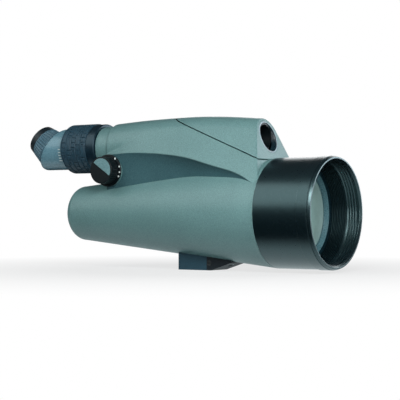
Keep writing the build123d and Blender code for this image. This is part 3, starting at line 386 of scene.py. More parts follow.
def bumped(tree, shader, height, depth_mm):
    """Raises the surface by a pattern, depth_mm from its lowest to its highest."""
    node = tree.nodes.new("ShaderNodeBump")
    node.inputs["Distance"].default_value = depth_mm / MM
    tree.links.new(height, node.inputs["Height"])
    tree.links.new(node.outputs["Normal"], shader.inputs["Normal"])


def coated(shader, weight, rough):
    """Clear coat over a finish."""
    shader.inputs["Coat Weight"].default_value = weight
    shader.inputs["Coat Roughness"].default_value = rough


def moulded(name, dark, light, speck=900.0, depth=0.05, rough=(0.45, 0.6), specular=0.5,
            cloud=0.35, sheen=(1.0, 1.0, 1.0, 1), coat=0.0):
    """Moulded or painted surface: fine specks between two colours, a slow drift of tone over them,
    uneven gloss, and a fine pebble in the surface."""
    material, tree, shader, place = new_finish(name)
    specks = noise(tree, place, speck, 3.0, 0.6)
    colour = ramp(tree, specks, [(0.3, tint(*dark)), (0.7, tint(*light))])
    drift = ramp(tree, noise(tree, place, 22.0), [(0.3, grey(1 - cloud)), (0.7, grey(1.0))])
    tree.links.new(mixed(tree, 0.55, colour, drift, "MULTIPLY"), shader.inputs["Base Color"])
    gloss = ramp(tree, noise(tree, place, speck * 0.6), [(0.3, grey(rough[0])), (0.7, grey(rough[1]))])
    tree.links.new(gloss, shader.inputs["Roughness"])
    shader.inputs["Specular IOR Level"].default_value = specular
    shader.inputs["Specular Tint"].default_value = sheen
    coated(shader, coat, rough[0])
    bumped(tree, shader, noise(tree, place, speck * 1.3, 2.0, 0.6), depth)
    return material


def glass(name, tone):
    """Coated glass: clear, with a faint colour and a trace of dust in its gloss."""
    material, tree, shader, place = new_finish(name)
    dust = ramp(tree, noise(tree, place, 300.0, 4.0, 0.7), [(0.45, grey(0.02)), (0.8, grey(0.1))])
    tree.links.new(dust, shader.inputs["Roughness"])
    shade = ramp(tree, noise(tree, place, 14.0), [(0.2, tint(*tone)), (0.8, grey(1.0))])
    tree.links.new(shade, shader.inputs["Base Color"])
    shader.inputs["Transmission Weight"].default_value = 1.0
    shader.inputs["IOR"].default_value = 1.52
    coated(shader, 0.4, 0.03)
    return material


def objective_glass(name):
    """Front lens: a painted reflection, pale milky green in its clear zone, a dark edge with fine rings beyond it,
    told apart by the distance from the axis."""
    material, tree, shader, place = new_finish(name)
    where = apart(tree, place)
    flat = tree.nodes.new("ShaderNodeCombineXYZ")
    tree.links.new(where["Y"], flat.inputs["Y"])
    tree.links.new(sums(tree, "SUBTRACT", where["Z"], AXIS_Z / MM), flat.inputs["Z"])
    share = sums(tree, "MULTIPLY", length_of(tree, flat.outputs[0]), MM / LENS_R)
    edge = CLEAR_R / LENS_R
    # painted reflection: the pale greens stand in for light off the coated glass
    stops = [(0.0, tint(170, 210, 205)), (edge - 0.05, tint(184, 220, 214)), (edge, tint(120, 160, 162))]
    for k in range(3):
        at = edge + 0.012 + (1 - edge - 0.02) * k / 3
        stops += [(at, tint(14, 34, 42)), (at + 0.01, tint(60, 100, 106))]
    cloud = ramp(tree, noise(tree, place, 120.0, 4.0, 0.7), [(0.3, grey(0.86)), (0.75, grey(1.0))])
    colour = mixed(tree, 1.0, ramp(tree, share, stops), cloud, "MULTIPLY")
    tree.links.new(colour, shader.inputs["Base Color"])
    dust = ramp(tree, noise(tree, place, 400.0, 3.0), [(0.4, grey(0.06)), (0.8, grey(0.2))])
    tree.links.new(dust, shader.inputs["Roughness"])
    shader.inputs["Transmission Weight"].default_value = 0.05
    shader.inputs["IOR"].default_value = 1.52
    coated(shader, 0.6, 0.03)
    return material


def metal(name, dark, light, rough=(0.25, 0.4)):
    """Machined metal with fine marks that run along X and an uneven sheen."""
    material, tree, shader, place = new_finish(name)
    stretch = tree.nodes.new("ShaderNodeMapping")
    stretch.inputs["Scale"].default_value = (60.0, 900.0, 900.0)
    tree.links.new(place, stretch.inputs["Vector"])
    marks = noise(tree, stretch.outputs[0], 1.0, 3.0, 0.6)
    tree.links.new(ramp(tree, marks, [(0.3, dark), (0.7, light)]), shader.inputs["Base Color"])
    gloss = ramp(tree, marks, [(0.3, grey(rough[0])), (0.7, grey(rough[1]))])
    tree.links.new(gloss, shader.inputs["Roughness"])
    shader.inputs["Metallic"].default_value = 1.0
    bumped(tree, shader, marks, 0.01)
    return material


BODY = moulded("body_paint", (80, 118, 120), (120, 158, 157), 1250.0, 0.06, (0.34, 0.48), 0.6, 0.16)
# painted shade: a darker copy of the body paint for the scooped side under the lip
SCOOP_SHADE = moulded("scoop_painted_shade", (42, 76, 84), (74, 112, 118), 1250.0, 0.07, (0.42, 0.58), 0.35, 0.2)
HOOD = moulded("hood_satin", (5, 13, 17), (11, 24, 30), 1200.0, 0.012, (0.27, 0.36), 0.9, 0.2,
               sheen=(0.5, 0.95, 1.0, 1), coat=0.5)
INSIDE = moulded("inner_black", (3, 9, 12), (9, 20, 24), 900.0, 0.03, (0.3, 0.45), 0.5, 0.3)
GRIP = moulded("grip_rubber", (18, 46, 60), (46, 84, 102), 1400.0, 0.05, (0.45, 0.62), 0.45)
BAND = moulded("band_plastic", (10, 26, 36), (22, 44, 56), 1100.0, 0.02, (0.28, 0.4), 0.6,
               sheen=(0.6, 0.85, 1.0, 1))
HEAD = moulded("head_paint", (86, 128, 142), (116, 158, 174), 900.0, 0.04, (0.24, 0.36), 0.7, 0.2)
CUP = moulded("cup_rubber", (44, 74, 90), (96, 134, 150), 1400.0, 0.04, (0.4, 0.55), 0.5)
KNOB = moulded("knob_plastic", (4, 12, 15), (11, 24, 29), 1300.0, 0.03, (0.32, 0.45), 0.45)
PALE = moulded("pale_inlay", (92, 132, 138), (126, 164, 168), 900.0, 0.03, (0.4, 0.5), 0.4)
TRIM = moulded("trim_ring", (146, 170, 182), (184, 206, 214), 900.0, 0.02, (0.3, 0.4), 0.5)
MARKS = moulded("mark_white", (206, 222, 222), (236, 244, 242), 1500.0, 0.01, (0.45, 0.6), 0.4, 0.1)
FOOT = moulded("foot_plastic", (22, 50, 64), (44, 78, 92), 1000.0, 0.05, (0.5, 0.65), 0.3)
CELL = moulded("cell_black", (10, 28, 36), (26, 54, 64), 1300.0, 0.02, (0.25, 0.38), 0.5)
RETAINER = moulded("retainer_ring", (52, 92, 104), (108, 150, 158), 1300.0, 0.02, (0.25, 0.38), 0.5)
CUP_END = moulded("cup_end_rubber", (8, 18, 24), (20, 38, 48), 1400.0, 0.04, (0.4, 0.55), 0.5)
LENS = glass("lens_glass", (214, 232, 226))
FRONT_LENS = objective_glass("objective_painted_reflection")
MIRROR = metal("mirror_silver", grey(0.8), grey(0.92), (0.02, 0.06))
STEEL = metal("steel_turned", tint(150, 156, 160), tint(196, 200, 202))
BRASS = metal("brass_turned", tint(168, 134, 72), tint(206, 172, 104))


def painted_shade_beyond(material, x, colour):
    """Paints shade into a finish: a second, darker tone ahead of X."""
    tree = material.node_tree
    base = tree.nodes["Principled BSDF"].inputs["Base Color"]
    place = tree.nodes["Texture Coordinate"].outputs["Object"]
    ahead = sums(tree, "GREATER_THAN", apart(tree, place)["X"], x / MM)
    tree.links.new(mixed(tree, ahead, base.links[0].from_socket, colour), base)


# painted shade: the foot's front part darkened where shadow falls
painted_shade_beyond(FOOT, FOOT_SHADE_X, tint(8, 20, 27))
SLOT_FINISH = {"body": BODY, "hood": HOOD, "rubber": GRIP, "black_plastic": KNOB, "black_inner": INSIDE,
               "cell_metal": CELL, "lens_glass": LENS, "mirror": MIRROR, "steel": STEEL, "brass": BRASS,
               "scale_plate": KNOB, "foot_plastic": FOOT}


def node_slot(node):
    """Material slot that the record gives a CAD node."""
    for row in frame["record"].get("subparts", []):
        if row.get("node") == node or row.get("name") == node:
            return row.get("material_slot") or row.get("material")
    return None


for node_name, cad in frame["nodes"].items():
    finish = SLOT_FINISH.get(node_slot(node_name), KNOB)
    cad.data.materials.clear()
    cad.data.materials.append(finish)


# ---- barrel and hood ----------------------------------------------------------------------
def make_barrel():
    """Cone wall, and behind it the domed end: (r / R)^p + (depth / length)^p = 1 with p a little over 2."""
    front, spigot_r = HOOD_X + SPIGOT_LENGTH, HOOD_R - SPIGOT_DROP
    cone = rounded([(front, spigot_r - WALL, 0.3), (front, spigot_r, 0.3),
                    (HOOD_X - 0.3, spigot_r), (HOOD_X - 0.3, HOOD_R, 0.4), (CONE_X, CONE_R, 0),
                    (CONE_X, CONE_R - WALL, 0), (HOOD_X - 4.0, HOOD_R - WALL - 1.0, 0)])
    at = np.flatnonzero(np.isclose(cone[:, 0], CONE_X) & np.isclose(cone[:, 1], CONE_R))[0]
    x = np.linspace(HOOD_X - 1.2, CONE_X, 60)
    cone = np.concatenate([cone[:at], np.stack([x, cone_radius(x)], 1), cone[at + 1:]])
    make_piece("barrel_tube", "scope_body", [on_axis(cone)], BODY, ["barrel"])
    turn = np.linspace(0, np.pi / 2, 30)
    depth, power = (CONE_X - CAP_X) * DOME_SHARE, 2 / DOME_POWER

    def dome(length, radius):
        return np.stack([CONE_X - length * np.sin(turn) ** power, radius * np.cos(turn) ** power], 1)

    outside, inside = dome(depth, CONE_R), dome(depth - WALL, CONE_R - WALL)[::-1]
    outside[-1, 1] = inside[0, 1] = 0.0
    loop = np.concatenate([outside, inside, outside[:1]])
    make_piece("barrel_end", "scope_body", [on_axis(loop, closed=False)], BODY, ["barrel_end_cap"])


def make_hood():
    """Satin tube with light-trap rings turned in its bore, and a proud rim with a groove and a bevel."""
    bore, seat = HOOD_R - HOOD_WALL, HOOD_R - SPIGOT_DROP
    start, end = HOOD_X + SEAT_LENGTH, RIM_LOW[0]
    wall = rounded([(end, bore, 0), (end, HOOD_R, 0.35), (HOOD_X, HOOD_R, 0.5), (HOOD_X, seat, 0),
                    (start, seat, 0), (start, bore, 0.2)])
    teeth = repeated(np.arange(start + 1.0, end - 2.0, 2.0), [(0.0, bore + 0.8), (1.6, bore - 0.35)])
    make_piece("hood_tube", "scope_body", [on_axis(np.concatenate([wall, teeth]))],
               HOOD, ["sun_hood"], sharp=30.0)
    rear, bore = end + 0.1, RIM_R - RIM_WALL
    wall = rounded([(rear, bore, 0), (rear, RIM_R, 0.3), (RIM_X - 4.2, RIM_R, 0.25),
                    (RIM_X - 3.7, RIM_R - 0.9, 0.1), (RIM_X - 3.1, RIM_R - 0.9, 0.1),
                    (RIM_X - 2.8, RIM_R - 0.15, 0.25), (RIM_X, RIM_R - 1.3, 0.35),
                    (RIM_X, RIM_R - 2.9, 0.3), (RIM_X - 2.1, bore, 0.3)])
    grooves = repeated(np.arange(RIM_X - 3.4, rear + 3.2, -3.3),
                       [(0.0, bore), (-1.3, bore), (-2.2, bore + 0.9), (-2.4, bore + 0.9)])
    make_piece("hood_rim", "scope_body", [on_axis(np.concatenate([wall, grooves]), 224)],
               HOOD, ["hood_rim_ring"], sharp=30.0)


def sag(curve, radius):
    """Depth of a sphere of radius curve, at a distance from its vertex: R - sqrt(R^2 - r^2)."""
    return curve - np.sqrt(curve ** 2 - radius ** 2)


def make_objective():
    """Cell, stepped retaining ring and front lens."""
    low, high = span("objective_cell")
    outer, seat, rear = half_width("objective_cell"), LENS_R + 0.1, low[0] + 17.6
    cell = rounded([(high[0], outer, 0.8), (rear, outer, 0.3), (rear, seat, 0),
                    (high[0] - 0.2, seat, 0.1), (high[0], LENS_R + 1.0, 0.2)])
    make_piece("objective_barrel", "scope_body", [on_axis(cell, 160)], CELL, ["objective_cell"])
    low, high = span("objective_retainer")
    top, lip, count = LENS_R - 0.6, LENS_R - 3.0, 4
    steps = [(high[0], LENS_R)]
    for k in range(count):
        r = top - k * (top - lip) / count
        s = high[0] - 0.2 - k * (high[0] - low[0] - 2.2) / count
        steps += [(s, r), (s - 0.7, r - 0.15)]
    steps += [(low[0] + 0.9, lip), (low[0] + 0.45, lip), (low[0] + 0.05, LENS_R)]
    ring = rounded([(*p, 0.08) for p in steps], 3, 0.1)
    make_piece("objective_ring", "scope_body", [on_axis(ring, 160)],
               RETAINER, ["objective_retainer"], sharp=30.0)
    radius = np.linspace(0, LENS_R, 40)
    front = np.stack([LENS_FRONT - sag(300.0, radius), radius], 1)
    back = np.stack([LENS_FRONT - 14.0 + sag(220.0, radius), radius], 1)[::-1]
    make_piece("front_lens", "scope_body", [on_axis(np.concatenate([front, back]), 160, closed=False)],
               FRONT_LENS, ["crown_lens"])


# ---- upper casing -------------------------------------------------------------------------
# X, crown top, crown radius, lip half-width and height, foot half-width and height
SECTIONS = np.array([
    (-127.0, 170.8, 27.5, 27.6, 133.3, 26.0, 92.0),
    (-110.0, 171.9, 27.5, 30.6, 134.0, 26.0, 93.6),
    (-85.0, 173.3, 27.5, 34.0, 134.5, 26.0, 96.0),
    (-47.0, 174.5, 27.0, 38.0, 132.5, 26.5, 100.0),
    (-7.0, 174.9, 26.0, 42.0, 127.5, 28.5, 102.0),
    (32.0, 173.1, 25.0, 45.0, 117.5, 36.0, 101.5),
    (70.0, 170.0, 24.0, 47.5, 106.5, 44.0, 98.0),
    (98.0, 168.0, 23.0, 53.0, 92.0, 51.5, 84.0)])
# X and height of the crease where the crown's arc meets the flank
CREASE = np.array([(-127.0, 134.4), (-108.0, 140.5), (-86.0, 151.5), (-64.0, 160.5), (-45.0, 168.0),
                   (98.0, 230.0)])
FACE_X, FACE_Z, FACE_SLOPE = 79.5, 148.9, 0.3086
SEAM_X, SEAM_Z, SEAM_SLOPE = 84.0, 125.1, 0.39
SEAM_GAP = 0.9
EDGE = 1.5               # rounding of the casing's front and rear edges
SEAM_EDGE = 0.45         # rounding along the seam
LIP_EDGE = 1.3
SIDE_STEPS = np.array([0.0, 0.1, 0.22, 0.45, 0.9])
SIDE_COUNT, LIP_COUNT, SCOOP_COUNT, COVER_COUNT = 44, 7, 26, 26
ROW_ENDS = (0.12, 0.35, 0.7, 1.1, 1.5)
TABLE_X = np.linspace(CASE_X, 98.0, 226)


def through(table, x):
    """Smooth curve through a table's rows at X: cubic pieces whose slopes are the secants' mean."""
    xs, ys = table[:, 0], table[:, 1:]
    secant = np.diff(ys, axis=0) / np.diff(xs)[:, None]
    slope = np.concatenate([secant[:1], (secant[1:] + secant[:-1]) / 2, secant[-1:]])
    k = np.clip(np.searchsorted(xs, x) - 1, 0, len(xs) - 2)
    h = (xs[k + 1] - xs[k])[:, None]
    t = ((x - xs[k])[:, None]) / h
    return ((2 * t ** 3 - 3 * t ** 2 + 1) * ys[k] + (t ** 3 - 2 * t ** 2 + t) * h * slope[k]
            + (3 * t ** 2 - 2 * t ** 3) * ys[k + 1] + (t ** 3 - t ** 2) * h * slope[k + 1])


def seam_height(x):
    return SEAM_Z + SEAM_SLOPE * (SEAM_X - x)


CREST = through(SECTIONS, TABLE_X)[:, 0]
APEX_X = float(np.interp(0.0, -(seam_height(TABLE_X) - CREST), TABLE_X))  # where the seam meets the crown


def face_at(z):
    """X of the slanted front face at a height."""
    return FACE_X + (FACE_Z - z) * FACE_SLOPE


def on_face(y, z, depth=0.0):
    """Points of the slanted front face, or so far behind it."""
    return np.stack([face_at(z) - depth, y, z], 1)


def half_outline(row, x):
    """One side of the casing at X, from the crown down to the lip: an arc, then a straight flank that
    leaves the arc at the crease or, further forward, at its tangent."""
    top, radius, lip_y, lip_z = row[:4]
    centre = top - radius
    reach = math.hypot(lip_y, lip_z - centre)
    tangent = math.atan2(lip_z - centre, lip_y) + math.acos(min(1.0, radius / reach))
    crease = np.interp(x, CREASE[:, 0], CREASE[:, 1])
    fold = math.asin(float(np.clip((crease - centre) / radius, -1, 1)))
    leave = min(tangent, fold)
    angle = np.linspace(np.pi / 2, leave, 90)
    arc = np.stack([radius * np.cos(angle), centre + radius * np.sin(angle)], 1)
    t = np.linspace(0, 1, 40)[1:, None]
    return np.concatenate([arc, arc[-1] * (1 - t) + np.array([lip_y, lip_z]) * t])


def lengths(line):
    """Length along a line of points, from its first point to each."""
    return np.concatenate([[0], np.cumsum(np.linalg.norm(np.diff(line, axis=0), axis=1))])


def along_line(line, distances):
    """Points at distances along a line of points."""
    return np.stack([np.interp(distances, lengths(line), line[:, k]) for k in (0, 1)], 1)


def down_to(outline, height):
    """Length down an outline, from the crown to a height."""
    return float(np.interp(-height, -outline[:, 1], lengths(outline)))


def curved(start, bend, end, count):
    """Points of a quadratic curve: (1 - t)^2 start + 2 t (1 - t) bend + t^2 end."""
    t = np.linspace(0, 1, count)[:, None]
    return (1 - t) ** 2 * start + 2 * t * (1 - t) * bend + t ** 2 * end


def side_line(row, x):
    """Casing outline below the seam: flank, rounded lip and scooped side down into the barrel."""
    whole = half_outline(row, x)
    lip, foot = whole[-1], row[4:6]
    cut = down_to(whole, seam_height(x) - SEAM_GAP / 2) if seam_height(x) < whole[0, 1] else 0.0
    bend = foot + (lip - foot) * np.array([0.18, 0.7])
    into, back = unit(bend - lip), unit(whole[-2] - lip)
    half = math.acos(float(np.clip(into @ back, -1, 1))) / 2
    reach = min(LIP_EDGE / math.tan(half), 3.0)
    stops = np.linspace(cut + 1.8, lengths(whole)[-1] - reach, SIDE_COUNT)
    flank = along_line(whole, np.concatenate([cut + SIDE_STEPS, stops]))
    start, end = lip + back * reach, lip + into * reach
    deep = foot + unit(foot - bend) * 3.0
    scoop = curved(end, bend, deep, SCOOP_COUNT)
    return np.concatenate([flank[:-1], curved(start, lip, end, LIP_COUNT), scoop[1:]])


def cover_line(row, x):
    """Half of the cover's outline at X, from the crown down to just above the seam."""
    whole = half_outline(row, x)
    edge = seam_height(x) + SEAM_GAP / 2
    cut = down_to(whole, edge) if edge < whole[0, 1] else 0.0
    near = np.minimum(SIDE_STEPS[::-1], cut * SIDE_STEPS[::-1] / 2)
    stops = np.concatenate([np.linspace(0, max(cut - 1.8, cut * 0.5), COVER_COUNT), cut - near])
    return along_line(whole, stops)


def line_table(line):
    """A line at every station: (stations, points, YZ)."""
    rows = through(SECTIONS, TABLE_X)
    return np.stack([line(row, x) for row, x in zip(rows, TABLE_X)])


def from_table(table, x):
    """Points of each column at its own X, between the two nearest stations."""
    step = TABLE_X[1] - TABLE_X[0]
    place = np.clip((x - TABLE_X[0]) / step, 0, len(TABLE_X) - 1.001)
    k = place.astype(int)
    t = (place - k)[..., None]
    column = np.broadcast_to(np.arange(x.shape[1])[None, :], x.shape)
    return table[k, column] * (1 - t) + table[k + 1, column] * t


def face_columns(table):
    """X at which each column of a table meets the slanted front face."""
    x = np.full((1, table.shape[1]), SEAM_X)
    for _ in range(6):
        x = face_at(from_table(table, x)[..., 1])
    return x


def to_face(rows, table):
    """X of every row and column: plain stations behind, leaning with the front face further forward."""
    lean = np.clip((rows[:, None] - 40.0) / (SEAM_X - 40.0), 0, 1)
    return rows[:, None] + lean * (face_columns(table) - SEAM_X)


def outward(points):
    """Unit normals in the section's plane, pointing away from the casing's middle."""
    along = np.gradient(points, axis=1)
    normal = np.stack([along[..., 1], -along[..., 0]], -1)
    normal /= np.maximum(np.linalg.norm(normal, axis=-1, keepdims=True), 1e-9)
    return -normal


def quarter(distance, radius):
    """How far a rounded edge has fallen at a distance from it: r - sqrt(r^2 - (r - d)^2)."""
    short = np.clip(radius - distance, 0, radius)
    return radius - np.sqrt(radius ** 2 - short ** 2)


def skin(table, rows, rear_edge, seam_side):
    """One side of a casing skin, with its ends and its seam edge rounded off."""
    x = to_face(rows, table)
    points = from_table(table, x)
    normal = outward(points)
    fall = quarter(np.abs(rows[-1] - rows)[:, None], EDGE)
    if rear_edge:
        fall = fall + quarter(np.abs(rows - rows[0])[:, None], EDGE)
    edge = points[:, :1] if seam_side == "first" else points[:, -1:]
    away = np.linalg.norm(points - edge, axis=-1)
    open_seam = step_up(rows, APEX_X - 1.0, APEX_X + 1.0)[:, None]
    fall = fall + quarter(away, SEAM_EDGE) * open_seam
    points = points - normal * fall[..., None]
    return np.concatenate([x[..., None], points], -1)


def mirrored(half):
    """The other side of a half: Y changes sign."""
    return half * np.array([1.0, -1.0, 1.0])


def ring_to_ring(outer, inner, shares):
    """Rows between two loops of points, at shares of the way."""
    t = np.asarray(shares)[:, None, None]
    return outer[None] * (1 - t) + inner[None] * t


def circle_facing(loop, centre_y, centre_z, radius):
    """For each point of a loop, the point of a circle at the same angle about its centre."""
    angle = np.unwrap(np.arctan2(loop[:, 2] - centre_z, loop[:, 1] - centre_y))
    return np.stack([centre_y + radius * np.cos(angle), centre_z + radius * np.sin(angle)], 1)


def front_rows(start, reach):
    """Stations from start to the front face, close together where the seam opens and at the face."""
    opening = start + reach * np.linspace(0, 1, 20) ** 2
    middle = np.linspace(opening[-1], SEAM_X - ROW_ENDS[-1], 66)[1:]
    return np.concatenate([opening, middle, SEAM_X - np.array(ROW_ENDS[:-1][::-1] + (0.0,))])


def casing_rows():
    """Stations along the casing, close together at both ends and where the seam opens at the crown."""
    rear = CASE_X + np.array((0.0,) + ROW_ENDS[:-1])
    middle = np.linspace(CASE_X + ROW_ENDS[-1], APEX_X - ROW_ENDS[-1], 56)
    return np.concatenate([rear, middle, front_rows(APEX_X, 16.0)])


def casing_front(edge):
    """Rows from the front edge and the seam in to the barrel's surface."""
    seam_y = np.linspace(1, 0, 16)[1:-1] * edge[0, 1]
    half = np.concatenate([edge[::-1], on_face(seam_y, np.full_like(seam_y, edge[0, 2]))])
    middle = [[face_at(edge[0, 2]), 0.0, edge[0, 2]]]
    outer = np.concatenate([half, middle, mirrored(half)[::-1]])
    from_axis = outer[:, 1:] - np.array([0.0, AXIS_Z])
    distance = np.linalg.norm(from_axis, axis=1, keepdims=True)
    barrel_r = cone_radius(outer[:, :1]) - 1.4
    inner = np.array([0.0, AXIS_Z]) + from_axis * np.minimum(1.0, barrel_r / distance)
    return ring_to_ring(outer, on_face(inner[:, 0], inner[:, 1]), np.linspace(0, 1, 10))


def casing_rear(edge):
    """Rows from the rear edge in to the hole that the neck covers."""
    floor_y = np.linspace(edge[-1, 1], edge[0, 1], 24)[1:-1]
    floor_z = AXIS_Z + np.sqrt((cone_radius(CASE_X) - 1.6) ** 2 - floor_y ** 2)
    loop = np.concatenate([edge, np.stack([np.full_like(floor_y, CASE_X), floor_y, floor_z], 1)])
    hole = circle_facing(loop, 0.0, EYE_Z, 21.0)
    hole = np.concatenate([np.full((len(hole), 1), CASE_X), hole], 1)
    return ring_to_ring(loop, hole, np.linspace(0, 1, 8))


def make_casing():
    """Lower casing skin: both sides below the seam, the slanted front around the barrel, the rear wall. The
    scooped side under the lip takes painted shade, a darker copy of the body paint.
    """
    left = skin(line_table(side_line), casing_rows(), True, "first")
    right = mirrored(left)
    scoop = left.shape[1] - SCOOP_COUNT
    sides = [sheet(half[:, :scoop + 1]) for half in (left, right)]
    # the scoop under the lip takes the second finish, painted shade
    sides += [sheet(half[:, scoop:], finish=1) for half in (left, right)]
    rear_edge = np.concatenate([right[0, ::-1], left[0]])
    ends = [sheet(casing_front(left[-1])), sheet(casing_rear(rear_edge), wrap_columns=True)]
    make_piece("casing", "scope_body", sides + ends,
               [BODY, SCOOP_SHADE], ["upper_housing"], wall=SKIN, sharp=42.0)


def make_cover():
    """Cover skin above the seam, with the slanted front face and the mouth of the small bore."""
    left = skin(line_table(cover_line), front_rows(APEX_X + 0.4, 15.6), False, "last")
    shell = np.concatenate([mirrored(left)[:, ::-1], left[:, 1:]], 1)
    edge = shell[-1]
    bottom_y = np.linspace(edge[-1, 1], edge[0, 1], 40)[1:-1]
    loop = np.concatenate([edge, on_face(bottom_y, np.full_like(bottom_y, edge[-1, 2]))])
    rings = []
    for rise, depth in ((2.5, 0.0), (2.2, 0.12), (2.05, 0.5), (2.05, 4.0)):
        yz = circle_facing(loop, 0.0, SMALL_Z, SMALL_R + rise)
        rings.append(on_face(yz[:, 0], yz[:, 1], depth))
    face = np.concatenate([ring_to_ring(loop, rings[0], np.linspace(0, 1, 14)), np.stack(rings[1:])])
    make_piece("cover", "scope_body", [sheet(shell), sheet(face, wrap_columns=True)],
               BODY, ["top_cover"], wall=SKIN, sharp=42.0)


def make_small_bore():
    """Pale flat ring round the mouth of the small bore, leaning with the front face, and the grooved
    black throat behind it."""
    angle = np.linspace(0, 2 * np.pi, 96, endpoint=False)

    def loop(radius, depth):
        return on_face(radius * np.cos(angle), SMALL_Z + radius * np.sin(angle), depth)

    pale = [loop(SMALL_R + r, d) for r, d in ((1.9, 4.0), (1.9, 0.15), (1.7, 0.0), (0.9, 0.0), (0.6, 0.15))]
    throat = [loop(SMALL_R + 0.6, 0.15), loop(SMALL_R + 0.5, 0.8)]
    for depth in np.arange(1.2, 6.0, 1.1):
        throat += [loop(SMALL_R + 0.4, depth), loop(SMALL_R - 0.1, depth + 0.5)]
    throat += [loop(SMALL_R - 0.1, 6.5), loop(SMALL_R + 1.9, 6.5), loop(SMALL_R + 1.9, 4.0)]
    make_piece("small_bore_ring", "scope_body",
               [sheet(np.stack(pale), False, True), sheet(np.stack(throat), False, True, finish=1)],
               [TRIM, CELL], ["small_objective_trim"])


def make_pads():
    """Round bosses on the casing's sides under the two knobs."""
    pads = (("knob_pad", KNOB_AT, -1.0, -SCALE_LOW[1] - 1.6, 0.6, (15.0, PAD_BORE)),
            ("focus_pad", FOCUS_AT, 1.0, FOCUS_LOW[1] - 0.2, 1.0, (PAD_BORE,)))
    for name, at, side, face, fillet, radii in pads:
        corners = [(PAD_INNER, PAD_BORE, 0), (PAD_INNER, PAD_R, 0), (face, PAD_R, fillet)]
        outline = rounded(corners + [(face, r, 0) for r in radii])
        pad = lathe(outline, (at[0], 0, at[2]), (0, side, 0), 96)
        make_piece(name, "scope_body", [pad], BODY, ())


# ---- zoom and eyepiece --------------------------------------------------------------------
def make_neck():
    """Plain collar between the casing and the zoom ring."""
    outline = rounded([(NECK_X, NECK_BORE, 0), (NECK_X, NECK_R, 0.5), (CASE_X, NECK_R, 0),
                       (CASE_X, NECK_BORE, 0)])
    make_piece("neck", "scope_body", [on_eye_axis(outline)], BODY, ["neck_collar"])


def block_relief(s, angle):
    """Raised blocks: the sleeve is cut in cells, alternate rings shifted by half a cell, and a groove
    runs round each cell except where a repeating rule joins it to the next one."""
    start, end = GRIP_LOW[0] + 4.5, GRIP_HIGH[0] - 1.2
    place = (s - start) / (end - start) * GRIP_ROWS + 0 * angle
    ring = np.clip(np.floor(place), 0, GRIP_ROWS - 1)
    turn = angle / (2 * np.pi) * GRIP_BLOCKS + 0.5 * (ring % 2)
    cell = np.floor(turn) % GRIP_BLOCKS
    across, around = place - ring, turn - np.floor(turn)
    pitch_s, pitch_a = (end - start) / GRIP_ROWS, 2 * np.pi * GRIP_R / GRIP_BLOCKS
    rule = (cell * 7 + ring * 11) % 5
    before = (rule == 1) | (rule == 4)
    after = ((cell + 1) % GRIP_BLOCKS * 7 + ring * 11) % 5
    after = (after == 1) | (after == 4)
    side = np.minimum(np.where(before, 9.0, around * pitch_a), np.where(after, 9.0, (1 - around) * pitch_a))
    away = np.minimum(side, np.minimum(across, 1 - across) * pitch_s)
    hollow = np.where(rule == 2, step_up(away, 1.9, 2.3), 0.0)
    raised = step_up(away, 0.35, 0.85) * (1 - 0.8 * hollow)
    inside = step_up(s, start - 0.3, start + 0.2) * (1 - step_up(s, end - 0.2, end + 0.3)) + 0 * angle
    return -0.95 * (1 - raised) * inside


def make_zoom():
    """Smooth front band, and a rubber sleeve with raised blocks and a chamfered rear edge."""
    core = half_width("cam_sleeve") + 0.1
    low, high = GRIP_LOW[0], GRIP_HIGH[0]
    band = rounded([(high, core, 0), (high, BAND_R, 0.4), (BAND_X, BAND_R, 1.0), (BAND_X, core + 1.0, 0),
                    (BAND_X - 2.0, core + 1.0, 0), (BAND_X - 2.0, core, 0)])
    make_piece("zoom_band", "zoom_control", [on_eye_axis(band)], BAND, ["zoom_ring"])
    high -= 0.25
    shape = rounded([(high, core + 0.2, 0), (low, core + 0.2, 0), (low, GRIP_R - 3.6, 0.5),
                     (low + 3.8, GRIP_R, 1.2), (high, GRIP_R, 0.6)])
    at = next(k for k, (x, r) in enumerate(shape) if x > high - 2.0 and r > GRIP_R - 1.0)
    x = np.linspace(shape[at - 1, 0], shape[at, 0], 104)[1:-1]
    shape = np.concatenate([shape[:at], np.stack([x, np.full_like(x, GRIP_R)], 1), shape[at:]])
    make_piece("zoom_sleeve", "zoom_control", [on_eye_axis(shape, 600, block_relief)],
               GRIP, ["zoom_grip"], sharp=50.0)


def make_head():
    """Elbow: a tube round the zoom axis, cut square to the slanted eyepiece axis, with a boss on the cut.
    Every row is a loop at the same angles, so one closed grid holds the inside and the outside."""
    angle = np.linspace(0, 2 * np.pi, 144, endpoint=False)
    cross = np.cross(EYE_DIR, LEFT)

    def level(x, radius):
        return np.stack([np.full_like(angle, x), radius * np.cos(angle), EYE_Z + radius * np.sin(angle)], 1)

    def slanted(s, radius):
        return (EYE_AT + s * EYE_DIR + (radius * np.cos(angle))[:, None] * LEFT
                - (radius * np.sin(angle))[:, None] * cross)

    def cut(radius, back):
        loop = level(0.0, radius)
        lean = -EYE_DIR[2] / EYE_DIR[0]
        loop[:, 0] = EYE_AT[0] + lean * (loop[:, 2] - EYE_AT[2]) + back
        return loop

    soft = 1.4 + 4.2 * (0.5 - 0.5 * np.sin(angle)) ** 2
    tail = []
    for t in np.linspace(0, 1, 24):
        tail.append(level(HEAD_X - 1.2, HEAD_R) * (1 - t) + cut(HEAD_R, soft * 1.25) * t)
    corner = [cut(HEAD_R - soft * (1 - math.cos(a)), soft * 1.25 * (1 - math.sin(a)) + 0.02)
              for a in np.linspace(0, np.pi / 2, 9)]
    front = ((17.0, 18.0), (12.0, 18.0), (12.0, 20.1), (0.0, 20.1), (0.0, HEAD_R - 0.7),
             (0.2, HEAD_R - 0.2), (0.7, HEAD_R))
    boss = ((0.0, 19.0), (14.9, 19.0), (15.0, 18.8), (15.0, 16.1), (-3.5, 16.1))
    rows = [level(HEAD_X - back, r) for back, r in front] + tail + corner + [slanted(s, r) for s, r in boss]
    make_piece("eyepiece_elbow", "scope_body", [sheet(np.stack(rows), True, True)],
               HEAD, ["eyepiece_head"])


